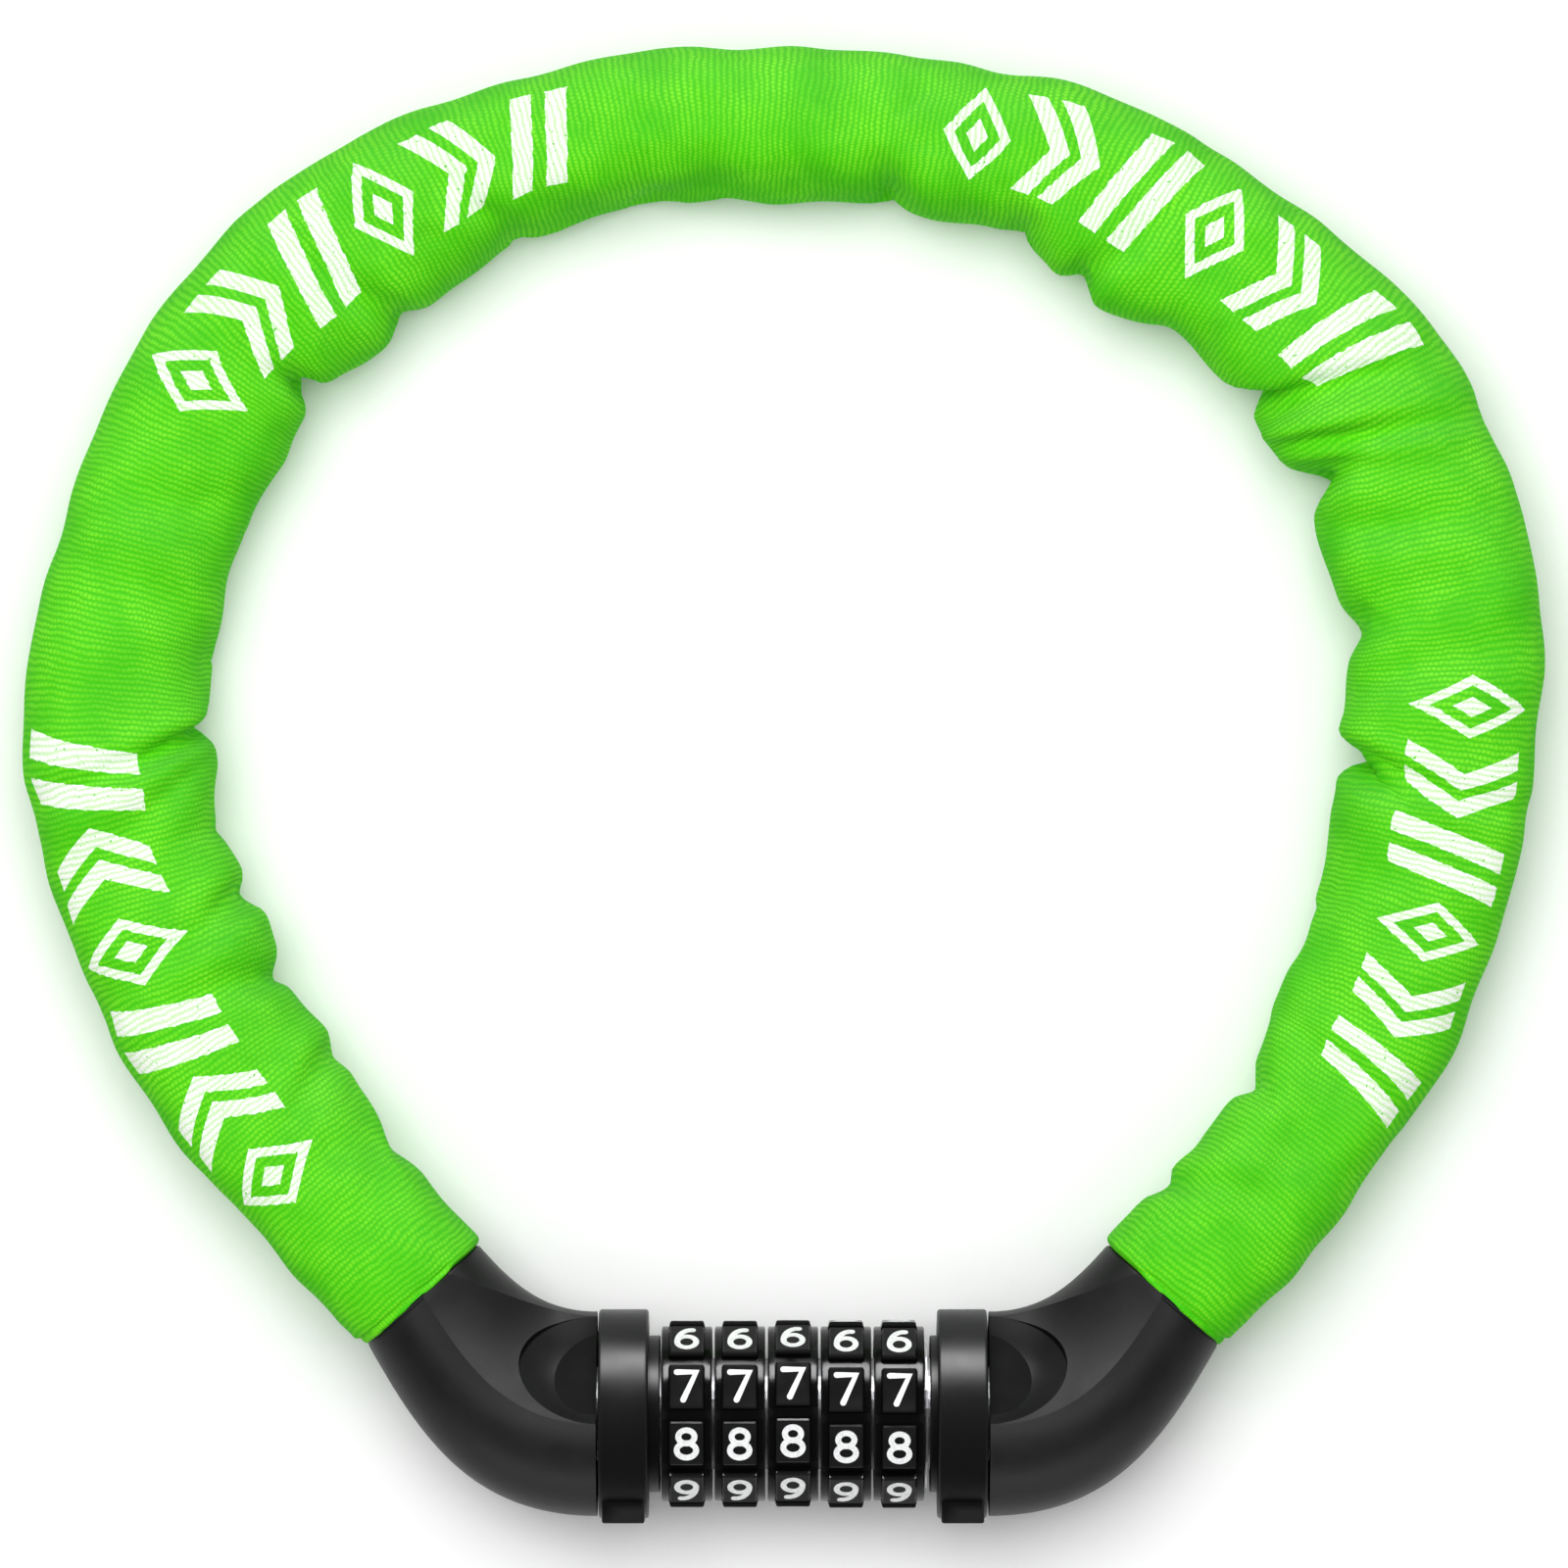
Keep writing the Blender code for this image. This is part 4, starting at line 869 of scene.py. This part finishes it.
def tube(middles, reaches, half_heights, angles):
    """Points [ring, column] of a flattened tube; the first column is on the left of the way."""
    headings = unit(np.gradient(middles, axis=0))
    sideways = unit(np.stack([-headings[:, 1], headings[:, 0], np.zeros(len(headings))], 1))
    up = np.cross(headings, sideways)
    power = 2 / SLEEVE_CREST
    across = np.sign(np.cos(angles)) * np.abs(np.cos(angles)) ** power
    reach = np.where(across > 0, reaches[:, :1], reaches[:, 1:])
    rise = np.sign(np.sin(angles)) * np.abs(np.sin(angles)) ** power
    return (
        middles[:, None] + sideways[:, None] * (reach * across)[..., None]
        + up[:, None] * (half_heights[:, None] * rise)[..., None]
    )


def bearings(points):
    return np.degrees(np.unwrap(np.arctan2(points[:, 1] - LOOP_MIDDLE.y, points[:, 0] - LOOP_MIDDLE.x)))


def pinched(points, middles, ways, bearing, angles):
    """The tube with its inner side drawn in at each pinch, in folds that run up over the top."""
    degrees_round = np.degrees((angles + pi) % tau - pi)  # 0 on the inner side, 90 on top
    draw = np.zeros(points.shape[:2])
    for at, depth, width, reach, lean in PINCHES:
        way = np.interp(at, bearing, ways)
        offset = (ways[:, None] - way - lean * np.clip(degrees_round, 0, 180)[None] * 0.2) / width
        spread = np.where(degrees_round > 0, reach, 75.0)
        fade = np.clip(1 - np.abs(degrees_round) / spread, 0, 1) ** 0.8
        draw += depth * np.exp(-offset**2) * fade[None]
    places = np.interp([pinch[0] for pinch in PINCHES], bearing, ways)
    side = np.clip(np.cos(angles), 0, 1) ** 0.7
    for low, high in zip(places, places[1:]):
        t = np.clip((ways - low) / (high - low), 0, 1)
        swell = min(SCALLOP_MOST, SCALLOP * (high - low)) * np.clip((SCALLOP_SPAN - high + low) / 15, 0, 1)
        draw -= swell * (np.sin(pi * t) ** 0.7)[:, None] * side[None]
    return points + unit(middles[:, None] - points) * draw[..., None]


def folded(points, ways, bearing, angles, normals):
    """The tube with soft folds over its top and a slow unevenness, moved along its normals."""
    across = (1 - np.cos(angles)) / 2  # 0 at the inner edge, 1 at the outer one
    top = np.clip(np.sin(angles), 0, 1) ** 0.5
    move = np.zeros(points.shape[:2])
    for inner, outer, depth, width in FOLDS:
        low, high = np.interp((inner, outer), bearing, ways)
        bow = 1.6 * np.sin(pi * across) * (1 if outer > inner else -1)
        offset = (ways[:, None] - ease((low, high), across)[None] - bow[None]) / width
        fade = top * np.clip(1.25 - across * 0.9, 0, 1)
        move -= depth * np.exp(-offset**2) * fade[None]
        move += depth * 0.55 * np.exp(-(((np.abs(offset) - 1.9) / 1.1) ** 2)) * fade[None]
    for length, turns, phase in ((31.0, 1, 0.4), (19.0, 2, 2.1), (12.7, -2, 4.0), (47.0, -1, 1.2)):
        move += RIPPLE / 2 * np.sin(tau * ways[:, None] / length + turns * angles[None] + phase)
    ends = np.clip(np.minimum(ways - ways[0], ways[-1] - ways) / 12 - 0.3, 0, 1)
    return points + normals * (move * ends[:, None])[..., None]


def outward_normals(points):
    return unit(np.cross(np.roll(points, -1, 1) - np.roll(points, 1, 1), np.gradient(points, axis=0)))


def straighter(middles, factor, stretch):
    """The line with its bends reduced and its length stretched, laid out near where it was."""
    steps = np.diff(middles, axis=0)
    angles = np.unwrap(np.arctan2(steps[:, 1], steps[:, 0]))
    centre = angles.mean()
    lengths = np.linalg.norm(steps, axis=1) * stretch
    turned_by = centre + (angles - centre) * factor
    moves = np.stack([np.cos(turned_by) * lengths, np.sin(turned_by) * lengths, 0 * lengths], 1)
    return np.concatenate([middles[:1], middles[0] + np.cumsum(moves, axis=0)])


def grid_object(name, points, scale=1.0):
    """An open tube's mesh from points [ring, column]."""
    rings, columns = points.shape[:2]
    faces = []
    for i in range(rings - 1):
        for j in range(columns):
            k = (j + 1) % columns
            faces.append((i * columns + j, i * columns + k, (i + 1) * columns + k, (i + 1) * columns + j))
    mesh = bpy.data.meshes.new(name)
    mesh.from_pydata((points.reshape(-1, 3) * scale).tolist(), [], faces)
    return placed(name, mesh)


def settled(points, sewn, liner, hold):
    """The tube after the cloth, sewn as a straighter tube, has settled round the chain."""
    scale = SIM_SCALE * MM
    cloth, core = grid_object("cloth", points, scale), grid_object("liner", liner, scale)
    ground = cloth_ground(scale)
    for obj in (core, ground):
        obj.modifiers.new("Collision", "COLLISION")
        obj.collision.thickness_outer, obj.collision.cloth_friction = CLOTH_GAP, 8.0
    cloth.shape_key_add(name="Basis")
    key = cloth.shape_key_add(name="sewn")
    key.data.foreach_set("co", (sewn.reshape(-1, 3) * scale).ravel())
    group = cloth.vertex_groups.new(name="hold")
    for index, weight in enumerate(hold.ravel()):
        if weight > 0:
            group.add([index], float(weight), "REPLACE")
    modifier = cloth.modifiers.new("Cloth", "CLOTH")
    made = modifier.settings
    made.quality, made.mass, made.air_damping = 6, 0.25, 4.0
    made.tension_stiffness = made.compression_stiffness = 60.0
    made.shear_stiffness, made.bending_stiffness = 12.0, 7.0
    made.tension_damping = made.compression_damping = 12.0
    made.bending_damping = 1.0
    made.rest_shape_key, made.vertex_group_mass, made.pin_stiffness = key, "hold", 1.5
    made.effector_weights.gravity = 0.15
    made.use_pressure, made.uniform_pressure_force = True, 1.2
    modifier.collision_settings.distance_min = CLOTH_GAP
    modifier.collision_settings.collision_quality = 3
    modifier.point_cache.frame_start, modifier.point_cache.frame_end = 1, SIM_FRAMES
    for number in range(1, SIM_FRAMES + 1):
        bpy.context.scene.frame_set(number)
    mesh = cloth.evaluated_get(bpy.context.evaluated_depsgraph_get()).to_mesh()
    found = np.empty(len(mesh.vertices) * 3)
    mesh.vertices.foreach_get("co", found)
    bpy.context.scene.frame_set(1)
    for obj in (cloth, core, ground):
        bpy.data.objects.remove(obj)
    return found.reshape(points.shape) / scale


def cloth_ground(scale):
    """The floor that the cloth lies on while it settles."""
    side = FLOOR_WIDTH / 10 * scale
    mesh = bpy.data.meshes.new("ground")
    corners = [(-side, -side, 0), (side, -side, 0), (side, side, 0), (-side, side, 0)]
    mesh.from_pydata(corners, [], [(0, 1, 2, 3)])
    return placed("ground", mesh)


def finer(values, axis, closed):
    """Values with one more between each two along an axis, on a smooth curve through them."""
    values = np.moveaxis(values, axis, 0)
    if closed:
        before, after, last = np.roll(values, 1, 0), np.roll(values, -1, 0), np.roll(values, -2, 0)
        first = values
    else:
        padded = np.concatenate([2 * values[:1] - values[1:2], values, 2 * values[-1:] - values[-2:-1]])
        before, first, after, last = padded[:-3], padded[1:-2], padded[2:-1], padded[3:]
    halves = (9 * (first + after) - before - last) / 16
    found = np.empty((len(values) + len(halves), *values.shape[1:]))
    found[0::2], found[1::2] = values, halves
    return np.moveaxis(found, 0, axis)


def sleeve_ways(total):
    """How far along the line each ring of the sleeve is: close together at the mouths, then even."""
    near = PIN_DEPTH + np.array(MOUTH_RINGS)
    first, last = near[-1] + CELL, total - near[-1] - CELL
    body = np.linspace(first, last, round((last - first) / CELL) + 1)
    return np.concatenate([near, body, total - near[::-1]])


def simulated(points, middles, ways, reaches, half_heights, angles):
    """The pinched tube after the cloth has settled, held at its ends and a little at its outer side."""
    sewn_line = straighter(middles, STRAIGHTER, FULLER)
    sewn = tube(sewn_line, reaches, half_heights, angles)
    room = np.minimum(reaches - LINER_GAP, LINER[:2])
    headroom = np.minimum(half_heights - LINER_GAP, LINER[2])
    liner = tube(middles, room, headroom, angles)
    from_end = np.minimum(ways - ways[0], ways[-1] - ways)[:, None]
    hold = np.zeros(points.shape[:2]) + HOLD_OUTER * np.clip(-np.cos(angles), 0, 1)[None]
    hold = np.maximum(hold, np.clip(HOLD_END - from_end / HOLD_FADE, 0, 1))
    return settled(points, sewn, liner, hold)


def lifted(points):
    """The points, none of them lower than just above the floor."""
    points[..., 2] = np.maximum(points[..., 2], FLOOR_GAP)
    return points


def sleeve():
    """The fabric tube, simulated in one piece, then cut where each link's part joins the next."""
    line, lengths, at_pin = sleeve_route()
    total = lengths[-1]
    ways = sleeve_ways(total)
    middles = read_off(ways, lengths, line)
    bearing = bearings(middles)
    angles = np.arange(SLEEVE_COLUMNS) * tau / SLEEVE_COLUMNS
    reaches, half_heights = sized(ways, total, bearing)
    plain = tube(middles, reaches, half_heights, angles)
    points = lifted(pinched(plain, middles, ways, bearing, angles))
    points = lifted(simulated(points, middles, ways, reaches, half_heights, angles))
    around = np.concatenate([[0], np.cumsum(np.linalg.norm(np.diff(plain, axis=1), axis=2).mean(0))])
    around = np.append(around, around[-1] + around[1])
    groups = [(*np.interp(row[:2], bearing, ways), row[2]) for row in PRINT_ROWS]
    fabric = green_fabric(float(around[-1]) / 4, groups)
    points = finer(finer(points, 0, False), 1, True)
    ways, bearing, around = (finer(values, 0, False) for values in (ways, bearing, around))
    angles = np.arange(2 * SLEEVE_COLUMNS) * pi / SLEEVE_COLUMNS
    points = lifted(folded(points, ways, bearing, angles, outward_normals(points)))
    normals = outward_normals(points)
    share = {1: END_CUT, LAST_PIN - 1: 1 - END_CUT}
    cut_way = [ease((at_pin[k], at_pin[k + 1]), share.get(k, 0.5)) for k in range(1, LAST_PIN)]
    cuts = [0] + [int(np.argmin(abs(ways - way))) for way in cut_way] + [len(ways) - 1]
    for k, (first, last) in enumerate(zip(cuts, cuts[1:])):
        rows = slice(first, last + 1)
        obj = tube_piece(f"sleeve_{k + 1:02d}", points[rows], normals[rows], ways[rows], around, fabric)
        starts, ends = k == 0, k == LAST_PIN - 1
        low = ways[first] if ends else max(ways[first], at_pin[k + 1] - BEND_REACH)
        high = ways[last] if starts else min(ways[last], at_pin[k + 1] + BEND_REACH)
        if starts:
            low = PIN_DEPTH
        if ends:
            high = total - PIN_DEPTH
        along = [Vector(line[np.argmin(abs(lengths - way))]) * MM for way in (low, high)]
        before = "root" if starts else f"link_{k:02d}"
        after = "bolt_half" if ends else f"link_{k + 1:02d}"
        if k + 1 == OPEN_PIN:
            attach(obj, before)
        else:
            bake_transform(obj)
        if starts:
            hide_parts("fabric_sleeve")


def tube_piece(name, points, normals, ways, around, fabric):
    """One length of the sleeve, with its weave laid out in metres and the whole sleeve's shading."""
    rings, columns = points.shape[:2]
    obj = grid_object(name, points, MM)
    mesh = obj.data
    mesh.shade_smooth()
    layer = mesh.uv_layers.new(name="Weave")
    uv = np.empty((len(mesh.loops), 2))
    for i in range(rings - 1):
        for j in range(columns):
            at = (i * columns + j) * 4
            uv[at:at + 4] = (
                (around[j], ways[i]), (around[j + 1], ways[i]),
                (around[j + 1], ways[i + 1]), (around[j], ways[i + 1]),
            )
    layer.data.foreach_set("uv", (uv * MM).ravel())
    mesh.normals_split_custom_set_from_vertices(normals.reshape(-1, 3).tolist())
    mesh.materials.append(fabric)
    return obj


BLACK_PLASTIC, SATIN_BLACK, GLOSS_BLACK = black_plastic(), satin_black(), gloss_black()
NUMBER_PAINT = number_paint()
BOLT_STEEL = metal("bolt_steel", (0.62, 0.62, 0.64), 0.22, (0.1, 1, 1))

camera()
studio()
dress_cad_nodes()
for label, side, body in (("right", 1, "root"), ("left", -1, "bolt_half")):
    collar(f"{label}_collar_shape", side, body)
reflectors([elbow("right_elbow_shell_shape", 1, "root"), elbow("left_elbow_shell_shape", -1, "bolt_half")])
for number in range(DIAL_COUNT):
    dial(number)
bolt()
sleeve()
